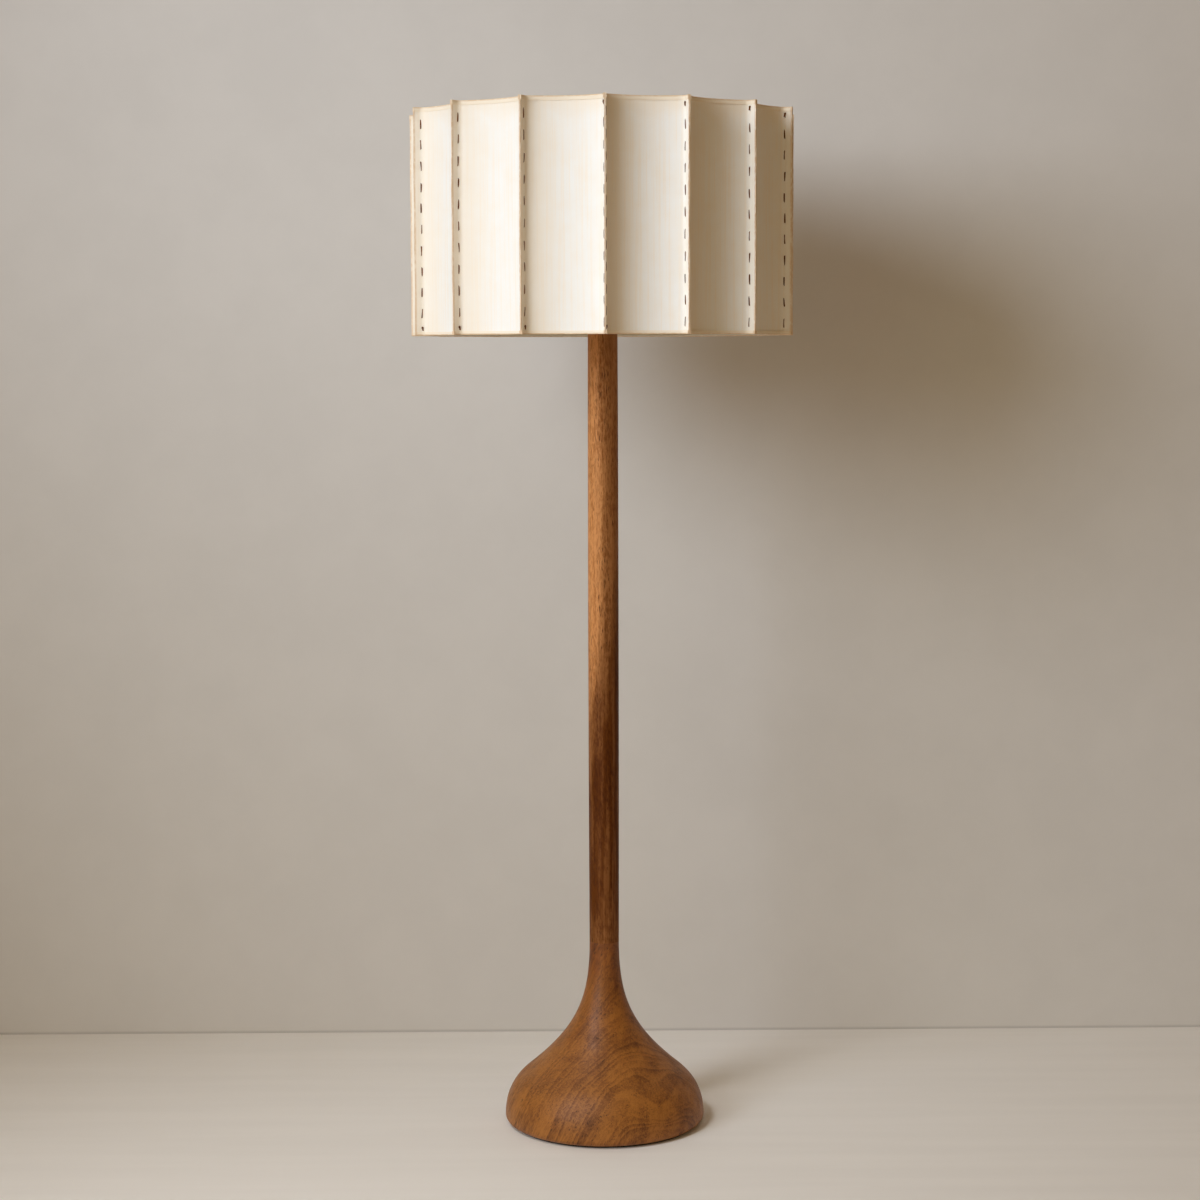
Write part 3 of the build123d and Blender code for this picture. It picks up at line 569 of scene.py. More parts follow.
@dataclass(frozen=True)
class ShadeCloth(Finish):
    """Stiffened plain-woven cloth, a shade deeper where a hem or a raw edge doubles it, with painted warm shade over
    each panel's left part and along its fins.

    The flat sizes say where the hems and edges lie on the unrolled panel, in metres.
    """

    name: str
    half_width: float
    lower_fold: float
    lower_hem: float
    upper_hem: float
    upper_fold: float
    colour: Colour = srgb(252, 249, 243)
    shadow: Colour = srgb(252, 240, 223)
    hem_and_shade_tint: Colour = srgb(250, 233, 207)
    crease: Colour = srgb(226, 188, 142)
    pitch: float = 0.00055
    thread_depth: float = 0.00007

    def build(self) -> bpy.types.Material:
        """Make the material."""
        material, wire, shader = new_material(self.name)
        flat = wire.flat_place()
        weave = wire.use(plain_weave(), {"Place": flat, "Pitch": self.pitch})
        cloud = wire.noise(flat, 26.0, 3.0, 0.6)
        streak = wire.remap(weave.outputs["Slub"], 0.44, 0.68)
        tone = wire.math("ADD", wire.math("MULTIPLY", streak, 0.6), wire.remap(cloud, 0.3, 0.8, 0.0, 0.4), clamp=True)
        colour = wire.mix(tone, self.colour, self.shadow)
        split = wire.add("SeparateXYZ", {0: flat}).outputs
        below = wire.math("LESS_THAN", split["Y"], self.lower_hem)
        above = wire.math("GREATER_THAN", split["Y"], self.upper_hem)
        colour = wire.mix(wire.math("MULTIPLY", wire.math("MAXIMUM", below, above), 0.7), colour, self.hem_and_shade_tint)
        across = wire.math("ABSOLUTE", split["X"])
        # Painted shade: the hollow's left part and the cloth along the fins, where shade falls, take the warm hem
        # colour; the tint also rises towards the upper hem.
        painted_warm_shade = wire.remap(split["X"], self.half_width * 0.1, -self.half_width * 0.8, 0.0, 0.5)
        painted_warm_shade = wire.math("MAXIMUM", painted_warm_shade, wire.remap(across, self.half_width * 0.6, self.half_width, 0.0, 0.25))
        painted_warm_shade = wire.math("MAXIMUM", painted_warm_shade, wire.remap(split["Y"], self.upper_hem - 0.03, self.upper_hem, 0.0, 0.5))
        colour = wire.mix(painted_warm_shade, colour, self.hem_and_shade_tint)
        edge = wire.remap(across, self.half_width - 0.0034, self.half_width - 0.0008)
        for fold in (self.lower_fold, self.upper_fold):
            away = wire.math("ABSOLUTE", wire.math("SUBTRACT", split["Y"], fold))
            edge = wire.math("MAXIMUM", edge, wire.remap(away, 0.0009, 0.0024, 1.0, 0.0))
        worn = wire.remap(wire.noise(flat, 120.0, 2.0), 0.3, 0.6, 0.3, 0.7)
        colour = wire.mix(wire.math("MULTIPLY", edge, worn), colour, self.crease)
        height = wire.math("ADD", weave.outputs["Height"], wire.math("MULTIPLY", weave.outputs["Slub"], 0.8))
        wire.feed(shader.inputs["Base Color"], colour)
        wire.feed(shader.inputs["Roughness"], wire.remap(weave.outputs["Slub"], 0.2, 0.8, 0.78, 0.9))
        wire.feed(shader.inputs["Normal"], wire.bump(height, self.thread_depth))
        shader.inputs["Sheen Weight"].default_value = 0.2
        shader.inputs["Sheen Tint"].default_value = self.hem_and_shade_tint
        return material


@dataclass(frozen=True)
class Metal(Finish):
    """Bare or lacquered metal with fine turning marks, dulled by handling."""

    name: str
    colour: Colour
    stain: Colour
    low: float = 0.22
    high: float = 0.4
    mark_depth: float = 0.00001

    def build(self) -> bpy.types.Material:
        """Make the material."""
        material, wire, shader = new_material(self.name)
        place = wire.place()
        worn = wire.use(handling(), {"Place": place, "Low": self.low, "High": self.high})
        marks = wire.noise(wire.vector("MULTIPLY", place, (0.05, 0.05, 1.0)), 2400.0, 2.0)
        stained = wire.math("ADD", wire.math("MULTIPLY", worn.outputs["Dust"], 0.3), wire.remap(wire.noise(place, 160.0, 4.0), 0.5, 0.8, 0.0, 0.5), clamp=True)
        wire.feed(shader.inputs["Base Color"], wire.mix(stained, self.colour, self.stain))
        wire.feed(shader.inputs["Roughness"], worn.outputs["Roughness"])
        wire.feed(shader.inputs["Normal"], wire.bump(marks, self.mark_depth))
        shader.inputs["Metallic"].default_value = 1.0
        return material


@dataclass(frozen=True)
class Coating(Finish):
    """Anything painted, moulded, pressed or cast: one colour, a surface grain and some dust."""

    name: str
    colour: Colour
    worn_colour: Colour
    low: float = 0.4
    high: float = 0.55
    grain: float = 1.0
    grain_depth: float = 0.00003
    coat: float = 0.0
    sheen: float = 0.0

    def build(self) -> bpy.types.Material:
        """Make the material."""
        material, wire, shader = new_material(self.name)
        place = wire.place()
        worn = wire.use(handling(), {"Place": place, "Low": self.low, "High": self.high})
        grain = wire.noise(wire.vector("MULTIPLY", place, (self.grain,) * 3), 900.0, 3.0)
        tone = wire.math("ADD", wire.remap(grain, 0.4, 0.75, 0.0, 0.6), wire.math("MULTIPLY", worn.outputs["Dust"], 0.5), clamp=True)
        wire.feed(shader.inputs["Base Color"], wire.mix(tone, self.colour, self.worn_colour))
        wire.feed(shader.inputs["Roughness"], worn.outputs["Roughness"])
        wire.feed(shader.inputs["Normal"], wire.bump(grain, self.grain_depth))
        shader.inputs["Coat Weight"].default_value = self.coat
        shader.inputs["Coat Roughness"].default_value = 0.08
        shader.inputs["Sheen Weight"].default_value = self.sheen
        return material


@dataclass(frozen=True)
class SewingThread(Finish):
    """Waxed two-ply thread; its own UV runs round it and along it."""

    name: str
    colour: Colour = srgb(118, 66, 20)
    groove_shade: Colour = srgb(46, 22, 6)

    def build(self) -> bpy.types.Material:
        """Make the material."""
        material, wire, shader = new_material(self.name)
        split = wire.add("SeparateXYZ", {0: wire.flat_place()})
        twist = wire.math("ADD", wire.math("MULTIPLY", split.outputs["X"], 2.0), split.outputs["Y"])
        ply = wire.math("ABSOLUTE", wire.math("SINE", wire.math("MULTIPLY", twist, math.pi)))
        ply = wire.math("POWER", ply, 0.5)
        # Painted shade: the grooves between the plies of the twist are coloured darker.
        wire.feed(shader.inputs["Base Color"], wire.mix(ply, self.groove_shade, self.colour))
        wire.feed(shader.inputs["Roughness"], wire.remap(ply, 0.0, 1.0, 0.9, 0.75))
        wire.feed(shader.inputs["Normal"], wire.bump(ply, 0.0001))
        shader.inputs["Specular IOR Level"].default_value = 0.04
        return material


BRASS = Metal("satin_brass", srgb(214, 176, 108), srgb(150, 110, 62))
PLATED_WIRE = Metal("brass_plated_wire", srgb(206, 184, 140), srgb(140, 116, 80), 0.2, 0.35)
ZINC = Metal("zinc_steel", srgb(188, 190, 192), srgb(128, 128, 130), 0.3, 0.5)
CAP_METAL = Metal("drawn_cap_metal", srgb(206, 204, 200), srgb(150, 146, 140), 0.18, 0.32)
SOLDER = Metal("dull_solder", srgb(170, 170, 172), srgb(110, 110, 112), 0.35, 0.55, 0.00003)
WIRE_PAINT = Coating("ivory_wire_paint", srgb(232, 224, 206), srgb(214, 203, 182), 0.35, 0.5, 1.2, 0.00003)
IRON = Coating("cast_iron_paint", srgb(52, 52, 54), srgb(78, 74, 70), 0.55, 0.75, 0.6, 0.0003)
FELT = Coating("base_felt", srgb(44, 40, 36), srgb(72, 66, 60), 0.9, 0.97, 1.6, 0.0005, 0.0, 0.4)
BUSHING_PLASTIC = Coating("bushing_plastic", srgb(40, 36, 32), srgb(66, 60, 54), 0.45, 0.6)
PHENOLIC = Coating("moulded_phenolic", srgb(46, 34, 28), srgb(70, 56, 46), 0.2, 0.32, 0.5, 0.00001, 0.4)
FIBRE = Coating("pressed_fibre", srgb(96, 74, 52), srgb(122, 98, 72), 0.75, 0.9, 0.8, 0.0001)
BLACK_GLASS = Coating("fired_black_glass", srgb(18, 18, 20), srgb(30, 30, 32), 0.08, 0.16, 0.3, 0.00001, 0.5)
OPAL_GLASS = Coating("opal_lamp_glass", srgb(247, 245, 238), srgb(240, 236, 226), 0.22, 0.3, 0.2, 0.000002, 1.0)


# The room


@dataclass(frozen=True)
class SpotLight:
    """A large soft lamp whose beam fades towards its edge.

    `place` and `aim` are in metres, `beam` is its full width in degrees, `radius` the lamp's
    own radius and `power` is in watts.
    """

    place: tuple[float, float, float]
    aim: tuple[float, float, float]
    beam: float
    radius: float
    power: float
    colour: tuple[float, float, float]

    def hang(self, name: str) -> None:
        """Hang the lamp under a name."""
        deselect_all()
        bpy.ops.object.light_add(type="SPOT", location=self.place)
        lamp = bpy.context.object
        lamp.name = name
        lamp.rotation_euler = (Vector(self.aim) - Vector(self.place)).to_track_quat("-Z", "Y").to_euler()
        lamp.data.spot_size = math.radians(self.beam)
        lamp.data.spot_blend = 1.0
        lamp.data.shadow_soft_size = self.radius
        lamp.data.energy = self.power
        lamp.data.color = self.colour


@dataclass(frozen=True)
class Studio:
    """Camera, lights, floor and wall, placed as the photograph shows them."""

    camera_yaw: float = 0.8  # degrees that the camera stands to the left of the front fin
    camera_distance: float = 3.6467
    camera_height: float = 1.1486
    camera_pitch: float = 5.634
    camera_roll: float = 0.154
    lens: float = 74.163
    axis_shift: float = -0.00224
    wall_behind: float = 0.49
    wall_yaw: float = 0.0
    floor_colour: Colour = srgb(246, 243, 238)
    wall_colour: Colour = srgb(219, 214, 208)
    # painted shadow: the wall darkens to this colour in its joint with the floor
    corner_shadow_colour: Colour = srgb(197, 192, 186)
    key: SpotLight = SpotLight((-2.62, -2.63, 2.4), (0.6, 0.49, 1.66), 68.0, 1.09, 465.0, (0.86, 0.97, 1.13))
    pool: SpotLight = SpotLight((-1.2, -1.45, 2.6), (-0.25, -1.1, 0.0), 74.0, 0.3, 128.0, (0.95, 0.97, 1.0))
    front: SpotLight = SpotLight((-2.4, -4.2, 2.0), (0.0, 0.0, 0.9), 60.0, 1.6, 130.0, (0.98, 0.97, 0.7))
    fill_light: Colour = (1.0, 0.655, 0.295, 1.0)
    fill_strength: float = 0.228
    distance_colour: Colour = srgb(214, 206, 196)

    def build(self) -> None:
        """Set up the whole room."""
        self.place_camera()
        self.key.hang("key_light")
        self.pool.hang("floor_light")
        self.front.hang("front_light")
        self.light_the_air()
        self.lay_floor()
        self.raise_wall()
        bpy.context.scene.view_settings.view_transform = "Standard"

    def place_camera(self) -> None:
        """Stand the camera where the photograph was taken."""
        yaw = math.radians(self.camera_yaw)
        stand = Vector((-math.sin(yaw), -math.cos(yaw), 0.0)) * self.camera_distance
        deselect_all()
        bpy.ops.object.camera_add(location=stand + Vector((0, 0, self.camera_height)))
        camera = bpy.context.object
        camera.rotation_euler = Euler(
            (math.radians(90 - self.camera_pitch), math.radians(self.camera_roll), -yaw), "XYZ"
        )
        camera.data.lens = self.lens
        camera.data.sensor_width = 36.0
        camera.data.shift_x = self.axis_shift
        bpy.context.scene.camera = camera

    def light_the_air(self) -> None:
        """Fill the shadows with warm light, and show a pale room where the wall ends."""
        world = bpy.data.worlds.new("room")
        bpy.context.scene.world = world
        world.use_nodes = True
        wire = Wiring(world.node_tree)
        fill = world.node_tree.nodes["Background"]
        fill.inputs["Color"].default_value = self.fill_light
        fill.inputs["Strength"].default_value = self.fill_strength
        seen = wire.add("Background", {"Color": self.distance_colour})
        both = wire.add("MixShader", {0: wire.add("LightPath").outputs["Is Camera Ray"], 1: fill, 2: seen})
        wire.feed(world.node_tree.nodes["World Output"].inputs["Surface"], both)

    def plain_surface(
        self, name: str, colour: Callable[[Wiring], Value], streak: tuple[float, float, float]
    ) -> tuple[bpy.types.Material, Wiring, bpy.types.Node]:
        """A matt pale surface that is seen from its front only.

        Args:
            name: The material's name.
            colour: Wires up its colour.
            streak: How its faint mottling is stretched.

        Returns:
            The material, its wiring and the node that makes it one-sided.
        """
        material, wire, shader = new_material(name)
        place = wire.vector("MULTIPLY", wire.place(), streak)
        mottle = wire.remap(wire.noise(place, 9.0, 4.0, 0.6), 0.3, 0.7, 0.97, 1.0)
        wire.feed(shader.inputs["Base Color"], wire.mix(1.0, colour(wire), mottle, "MULTIPLY"))
        shader.inputs["Roughness"].default_value = 0.85
        shader.inputs["Specular IOR Level"].default_value = 0.15
        behind = wire.add("NewGeometry").outputs["Backfacing"]
        one_sided = wire.add("MixShader", {0: behind, 1: shader, 2: wire.add("BsdfTransparent")})
        wire.feed(material.node_tree.nodes["Material Output"].inputs["Surface"], one_sided)
        return material, wire, one_sided

    def wall_with_corner_shadow(self, wire: Wiring) -> bpy.types.NodeSocket:
        """The wall's colour, with a painted shadow deepening it in its joint with the floor."""
        height = wire.add("SeparateXYZ", {0: wire.place()}).outputs["Z"]
        return wire.mix(wire.remap(height, 0.001, 0.006), self.corner_shadow_colour, self.wall_colour)

    def lay_floor(self) -> None:
        """Lay a plain pale floor."""
        deselect_all()
        bpy.ops.mesh.primitive_plane_add(size=60.0)
        floor = bpy.context.object
        floor.name = "floor"
        material, wire, near = self.plain_surface("floor_plain", lambda _: self.floor_colour, (0.15, 2.2, 1.0))
        away = wire.add("VectorMath", {0: wire.place()}, operation="LENGTH").outputs["Value"]
        depth = wire.add("SeparateXYZ", {0: wire.place()}).outputs["Y"]
        past_wall = wire.math("MULTIPLY", wire.math("GREATER_THAN", depth, self.wall_behind), 0.6)
        share = wire.math("MAXIMUM", wire.remap(away, 1.0, 2.6), past_wall)
        from_above = wire.math("SUBTRACT", 1.0, wire.add("NewGeometry").outputs["Backfacing"])
        seen = wire.math("MULTIPLY", from_above, wire.add("LightPath").outputs["Is Camera Ray"])
        share = wire.math("MULTIPLY", share, seen)
        far = wire.add("Emission", {"Color": self.distance_colour})
        surface = wire.add("MixShader", {0: share, 1: near, 2: far})
        wire.feed(material.node_tree.nodes["Material Output"].inputs["Surface"], surface)
        floor.data.materials.append(material)

    def raise_wall(self) -> None:
        """Raise the wall close behind the lamp, facing the camera."""
        deselect_all()
        bpy.ops.mesh.primitive_plane_add(size=9.0, location=(0, self.wall_behind, 4.5))
        wall = bpy.context.object
        wall.name = "wall"
        wall.rotation_euler = (math.radians(90), 0, math.radians(self.wall_yaw))
        settle(wall)
        wall.data.materials.append(self.plain_surface("wall_plain", self.wall_with_corner_shadow, (1.0, 1.0, 1.0))[0])


# The stand


@dataclass
class Stand:
    """The turned foot and post, and the fittings that hold them together."""

    pad: float = 0.003
    foot_radius: float = 0.1495
    foot_edge: float = 0.009
    foot_height: float = 0.275
    shoulder_pull: float = 0.043
    flare_radius: float = 0.114
    flare_height: float = 0.0815
    flare_lean: float = 50.0
    flare_pull_below: float = 0.011
    flare_pull_above: float = 0.097
    neck_pull: float = 0.086
    post_top: float = 1.236
    post_foot: float = 0.022
    post_belly: float = 0.0226
    post_head: float = 0.0217
    post_edge: float = 0.0015
    foot_wood: TurnedWood = TurnedWood(
        "foot_timber",
        (-17.97, -21.04, -35.08),
        (0.02, 0.21, 0.0),
        knot=(0.085, -0.112, 0.062),
        knot_size=0.045,
        knot_rings=5.0,
    )
    post_wood: TurnedWood = TurnedWood(
        "post_timber",
        (1.5, 1.0, 20.0),
        (0.012, 0.05, 0.1),
        heart_slant=-6.0,
        painted_side_shade=0.6,
        light=srgb(208, 144, 88),
        dark=srgb(150, 88, 40),
        pore=srgb(70, 36, 14),
        heart=(0.185, 0.115, 0.035, 1.0),
        ring_width=0.006,
        wander=0.02,
        mottle_share=0.38,
        gloss=0.09,
    )

    def build(self) -> None:
        """Model the two turned pieces and dress the rest."""
        self.turn_foot()
        self.turn_post()
        for node, finish in (
            ("base_pad", FELT),
            ("base_weight", IRON),
            ("weight_screws", ZINC),
            ("cord_bushing", BUSHING_PLASTIC),
            ("stem_pipe", ZINC),
            ("stem_washer", ZINC),
            ("stem_nut", ZINC),
            ("lock_nut", BRASS),
            ("check_plate", BRASS),
        ):
            finish.dress(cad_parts[node])

    def turn_foot(self) -> None:
        """Turn the bell-shaped foot, closed underneath."""
        lean = math.radians(self.flare_lean)
        lean_in, lean_up = -math.sin(lean), math.cos(lean)
        flat = self.foot_radius - self.foot_edge
        turn = (self.flare_radius, self.flare_height)
        outline = [(0.0, self.pad), (flat * 0.5, self.pad)]
        outline += arc((flat, self.pad + self.foot_edge), self.foot_edge, -90, 0, 10)
        outline += bezier(
            (
                (self.foot_radius, self.pad + self.foot_edge),
                (self.foot_radius, self.pad + self.foot_edge + self.shoulder_pull),
                (turn[0] - self.flare_pull_below * lean_in, turn[1] - self.flare_pull_below * lean_up),
                turn,
            ),
            24,
        )[1:]
        outline += bezier(
            (
                turn,
                (turn[0] + self.flare_pull_above * lean_in, turn[1] + self.flare_pull_above * lean_up),
                (self.post_foot, self.foot_height - self.neck_pull),
                (self.post_foot, self.foot_height),
            ),
            40,
        )[1:]
        outline.append((0.0, self.foot_height))
        foot = lathe("foot_bell", outline, steps=160)
        self.foot_wood.dress(foot)
        join_lamp(foot, "stand", "foot_wood", "base_bell")

    def turn_post(self) -> None:
        """Turn the slim post with its slight belly."""
        parts = 40
        outline = [(0.0, self.foot_height)]
        for part in range(parts + 1):
            share = part / parts
            straight = self.post_foot + (self.post_head - self.post_foot) * share
            belly = self.post_belly - (self.post_foot + self.post_head) / 2
            height = self.foot_height + (self.post_top - self.post_edge - self.foot_height) * share
            outline.append((straight + 4 * belly * share * (1 - share), height))
        outline += arc((self.post_head - self.post_edge, self.post_top - self.post_edge), self.post_edge, 0, 90, 5)[1:]
        outline.append((0.0, self.post_top))
        post = lathe("post_turned", outline, steps=96)
        self.post_wood.dress(post)
        join_lamp(post, "stand", "post_wood", "post")


def join_lamp(piece: bpy.types.Object, body: str, slot: str, *stands_for: str) -> None:
    """Tie a finished piece to the moving body that it belongs to, and report it.

    Args:
        piece: The finished piece.
        body: The body that it moves with.
        slot: Not used.
        stands_for: The solids that it is shown instead of.
    """
    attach(piece, body)
    if stands_for:
        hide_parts(*stands_for)
    log.info("%s: %d faces on body %s", piece.name, len(piece.data.polygons), body)


# The shade


@dataclass
class PanelPlan:
    """A cloth panel from above, its middle on +X: one hollow, then a bend and a fin each way.

    All lengths are in metres and for the middle of the cloth.
    """

    half_angle: float
    crest: float
    cove: float
    fin: float
    bend: float
    cloth: float
    seam_gap: float
    hollow_parts: int = 14
    bend_parts: int = 8
    fin_parts: int = 5
    hollow_radius: float = field(init=False)
    centre: float = field(init=False)
    bend_radius: float = field(init=False)
    bend_start: float = field(init=False)
    bend_turn: float = field(init=False)
    half_width: float = field(init=False)

    def __post_init__(self) -> None:
        """Work out the arcs from the driving sizes."""
        face = self.seam_gap / 2 + self.cloth
        corner_radius = self.crest - self.fin
        angle = self.half_angle - face / corner_radius
        corner_x, corner_y = corner_radius * math.cos(angle), corner_radius * math.sin(angle)
        sag = corner_x - self.cove
        outer = (corner_y**2 + sag**2) / (2 * sag)
        self.centre = self.cove + outer
        reach = (self.centre * math.sin(self.half_angle) - face - self.bend) / (outer - self.bend)
        self.bend_start = math.asin(reach) - self.half_angle
        self.bend_turn = math.pi / 2 - self.bend_start - self.half_angle
        self.hollow_radius = outer + self.cloth / 2
        self.bend_radius = self.bend + self.cloth / 2
        bend_end = self.point_on_bend(self.bend_turn)
        along = bend_end[0] * math.cos(self.half_angle) + bend_end[1] * math.sin(self.half_angle)
        self.fin_start = along
        self.half_width = self.hollow_length + self.bend_length + self.crest - along

    @property
    def hollow_length(self) -> float:
        """Length of half the hollow along the cloth."""
        return self.hollow_radius * self.bend_start

    @property
    def bend_length(self) -> float:
        """Length of one bend along the cloth."""
        return self.bend_radius * self.bend_turn

    def point_on_bend(self, turn: float) -> tuple[float, float]:
        """A point on the upper bend, a given turn past the hollow's end."""
        to_bend = self.hollow_radius - self.bend_radius
        heading = self.bend_start + turn
        return (
            self.centre - to_bend * math.cos(self.bend_start) - self.bend_radius * math.cos(heading),
            to_bend * math.sin(self.bend_start) + self.bend_radius * math.sin(heading),
        )

    def at(self, distance: float) -> tuple[float, float, float, float]:
        """Where the cloth is, a distance along it from the panel's middle.

        Args:
            distance: Metres along the cloth, negative towards the panel's other side.

        Returns:
            X and Y in the panel's plan, and X and Y of the direction out of the shade.
        """
        side = -1 if distance < 0 else 1
        run = abs(distance)
        if run < self.hollow_length:
            turn = run / self.hollow_radius
            x, y = self.centre - self.hollow_radius * math.cos(turn), self.hollow_radius * math.sin(turn)
            out_x, out_y = math.cos(turn), -math.sin(turn)
        elif run < self.hollow_length + self.bend_length:
            turn = (run - self.hollow_length) / self.bend_radius
            x, y = self.point_on_bend(turn)
            out_x, out_y = math.cos(self.bend_start + turn), -math.sin(self.bend_start + turn)
        else:
            along = self.fin_start + run - self.hollow_length - self.bend_length
            aside = self.seam_gap / 2 + self.cloth / 2
            cosine, sine = math.cos(self.half_angle), math.sin(self.half_angle)
            x, y = along * cosine + aside * sine, along * sine - aside * cosine
            out_x, out_y = sine, -cosine
        return x, side * y, out_x, side * out_y

    def stops(self) -> list[float]:
        """Distances along the cloth at which it is divided, close together in the bends."""
        ends = [0.0, self.hollow_length, self.hollow_length + self.bend_length, self.half_width]
        half = [0.0]
        for start, end, parts in zip(ends, ends[1:], (self.hollow_parts, self.bend_parts, self.fin_parts)):
            half += [start + (end - start) * (part + 1) / parts for part in range(parts)]
        return [-run for run in reversed(half[1:])] + half


@dataclass
class HemmedHeight:
    """A panel's cloth from its lower hem's end up and over to its upper hem's end."""

    foot: float
    top: float
    lower_hem: float
    upper_hem: float
    fold: float  # from the middle of the cloth to the middle of the turned hem
    body_parts: int = 40
    fold_parts: int = 4

    def rows(self) -> list[tuple[float, float, float]]:
        """The rows of the cloth.

        Returns:
            For each row, its distance along the cloth, how far it stands out, and its height.
        """
        turn = self.fold / 2
        path = [(self.fold, self.foot + self.lower_hem), (self.fold, self.foot + (self.lower_hem + turn) / 2)]
        path += [
            (turn + turn * math.cos(math.pi * part / self.fold_parts), self.foot + turn - turn * math.sin(math.pi * part / self.fold_parts))
            for part in range(self.fold_parts + 1)
        ]
        low, high = self.foot + turn, self.top - turn
        path += [(0.0, low + (high - low) * part / self.body_parts) for part in range(1, self.body_parts)]
        path += [
            (turn - turn * math.cos(math.pi * part / self.fold_parts), self.top - turn + turn * math.sin(math.pi * part / self.fold_parts))
            for part in range(self.fold_parts + 1)
        ]
        path += [(self.fold, self.top - (self.upper_hem + turn) / 2), (self.fold, self.top - self.upper_hem)]
        rows: list[tuple[float, float, float]] = []
        distance = 0.0
        for index, (out, height) in enumerate(path):
            if index:
                distance += math.dist(path[index - 1], path[index])
            rows.append((distance, out, height))
        return rows

    def lines(self) -> tuple[float, float, float, float]:
        """Distances along the cloth of the lower fold and hem edge, and of the upper edge and fold."""
        rows = self.rows()
        lower = min(rows, key=lambda row: row[2])[0]
        upper = max(rows, key=lambda row: row[2])[0]
        return lower, lower + self.lower_hem, upper - self.upper_hem, upper


@dataclass
class DrumShade:
    """Fifteen hollow cloth panels sewn together in outward fins over a wire frame."""

    count: int = 15
    top: float = 1.5
    height: float = 0.321
    crest: float = 0.283
    cove: float = 0.252
    fin: float = 0.013
    bend: float = 0.010
    cloth: float = 0.001
    seam_gap: float = 0.0002
    lower_hem: float = 0.0045
    upper_hem: float = 0.006
    fold: float = 0.0011
    seam_in: float = 0.0105  # from the crest in to the stitches
    stitch_pitch: float = 0.0297  # from one stitch to the next on the same face
    first_hole: float = 0.0155  # below the top
    stitches: int = 10
    ply_radius: float = 0.0006
    ply_apart: float = 0.00105
    seed: int = 7

    def build(self) -> None:
        """Make every panel and seam, and dress the frame."""
        self.plan = PanelPlan(
            math.pi / self.count, self.crest, self.cove, self.fin, self.bend, self.cloth, self.seam_gap
        )
        self.rise = HemmedHeight(self.top - self.height, self.top, self.lower_hem, self.upper_hem, self.fold)
        self.rows = self.rise.rows()
        self.chance = random.Random(self.seed)
        self.sways = [[self.chance.uniform(-1, 1) for _ in range(6)] for _ in range(self.count)]
        self.cloth_finish = ShadeCloth(
            "ivory_plain_weave",
            self.plan.half_width,
            *self.rise.lines(),
        )
        for index in range(self.count):
            self.sew_panel(index)
        for seam in range(self.count):
            self.stitch_seam(seam)
        for node in ("shade_top_ring", "shade_bottom_ring", "shade_ribs", "spider_hub", "spider_arms"):
            WIRE_PAINT.dress(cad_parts[node])

    def seam_angle(self, seam: float) -> float:
        """Direction of a fin in radians; fin 0 points to the front."""
        return -math.pi / 2 + seam * FULL_TURN / self.count

    def sway(self, seam: int, height: float) -> float:
        """How far a fin's crest leans aside at a height, in metres."""
        share = (height - self.top + self.height) / self.height
        a, b, c, d, e, f = self.sways[seam % self.count]
        return 0.0007 * (a * math.sin(math.pi * share) + 0.6 * b * math.sin(2 * math.pi * share + c) + 0.25 * d * math.sin(5 * math.pi * share + 3 * e))

    def lean(self, run: float) -> float:
        """How much of a fin's sway reaches a point, from 0 at the bend to 1 at the crest."""
        start = self.plan.hollow_length + self.plan.bend_length * 0.4
        return min(1.0, max(0.0, (abs(run) - start) / (self.plan.half_width - start)))

    def sew_panel(self, index: int) -> None:
        """Cut one panel flat, form it, and give it its thickness.

        Args:
            index: Which panel, from the right of the front fin round to the back.
        """
        stops = self.plan.stops()
        deselect_all()
        bpy.ops.mesh.primitive_grid_add(x_subdivisions=len(stops) - 1, y_subdivisions=len(self.rows) - 1, size=2.0)
        panel = bpy.context.object
        panel.name = panel.data.name = f"cloth_panel_{index + 1:02d}"
        flat = np.zeros((len(panel.data.vertices), 3))
        panel.data.vertices.foreach_get("co", flat.ravel())
        columns = np.rint((flat[:, 0] + 1) / 2 * (len(stops) - 1)).astype(int)
        levels = np.rint((flat[:, 1] + 1) / 2 * (len(self.rows) - 1)).astype(int)
        self.mark_flat_place(panel, [(stops[c], self.rows[r][0]) for c, r in zip(columns, levels)])
        middle = self.seam_angle(index + 0.5)
        turned = Matrix.Rotation(middle, 3, "Z")
        plan = [self.plan.at(run) for run in stops]
        phase = [self.chance.uniform(0, FULL_TURN) for _ in range(3)]
        places = []
        for column, level in zip(columns, levels):
            x, y, out_x, out_y = plan[column]
            _, out, height = self.rows[level]
            run = stops[column]
            share = (height - self.top + self.height) / self.height
            belly = 0.0005 * math.sin(math.pi * share) * math.cos(math.pi * run / self.plan.half_width / 2)
            belly *= math.sin(phase[0] + 3.1 * share) + 0.5 * math.sin(phase[1] + 40 * run + 2 * share)
            point = turned @ Vector((x + (out + belly) * out_x, y + (out + belly) * out_y, height))
            seam = index + 1 if run > 0 else index
            aside = Vector((-math.sin(self.seam_angle(seam)), math.cos(self.seam_angle(seam)), 0.0))
            point += aside * self.sway(seam, height) * self.lean(run)
            outwards = Vector((math.cos(self.seam_angle(seam)), math.sin(self.seam_angle(seam)), 0.0))
            fray = 0.00025 * math.sin(phase[2] + 19 * share) * self.lean(run) ** 2
            places.append(point + outwards * fray)
        panel.data.vertices.foreach_set("co", np.array(places).ravel())
        panel.data.update()
        walls = panel.modifiers.new("cloth", "SOLIDIFY")
        walls.thickness = self.cloth
        walls.offset = 0.0
        settle(panel)
        smooth(panel, 50)
        self.cloth_finish.dress(panel)
        node = f"shade_panel_{index + 1:02d}"
        join_lamp(panel, "shade", "shade_cloth", node)

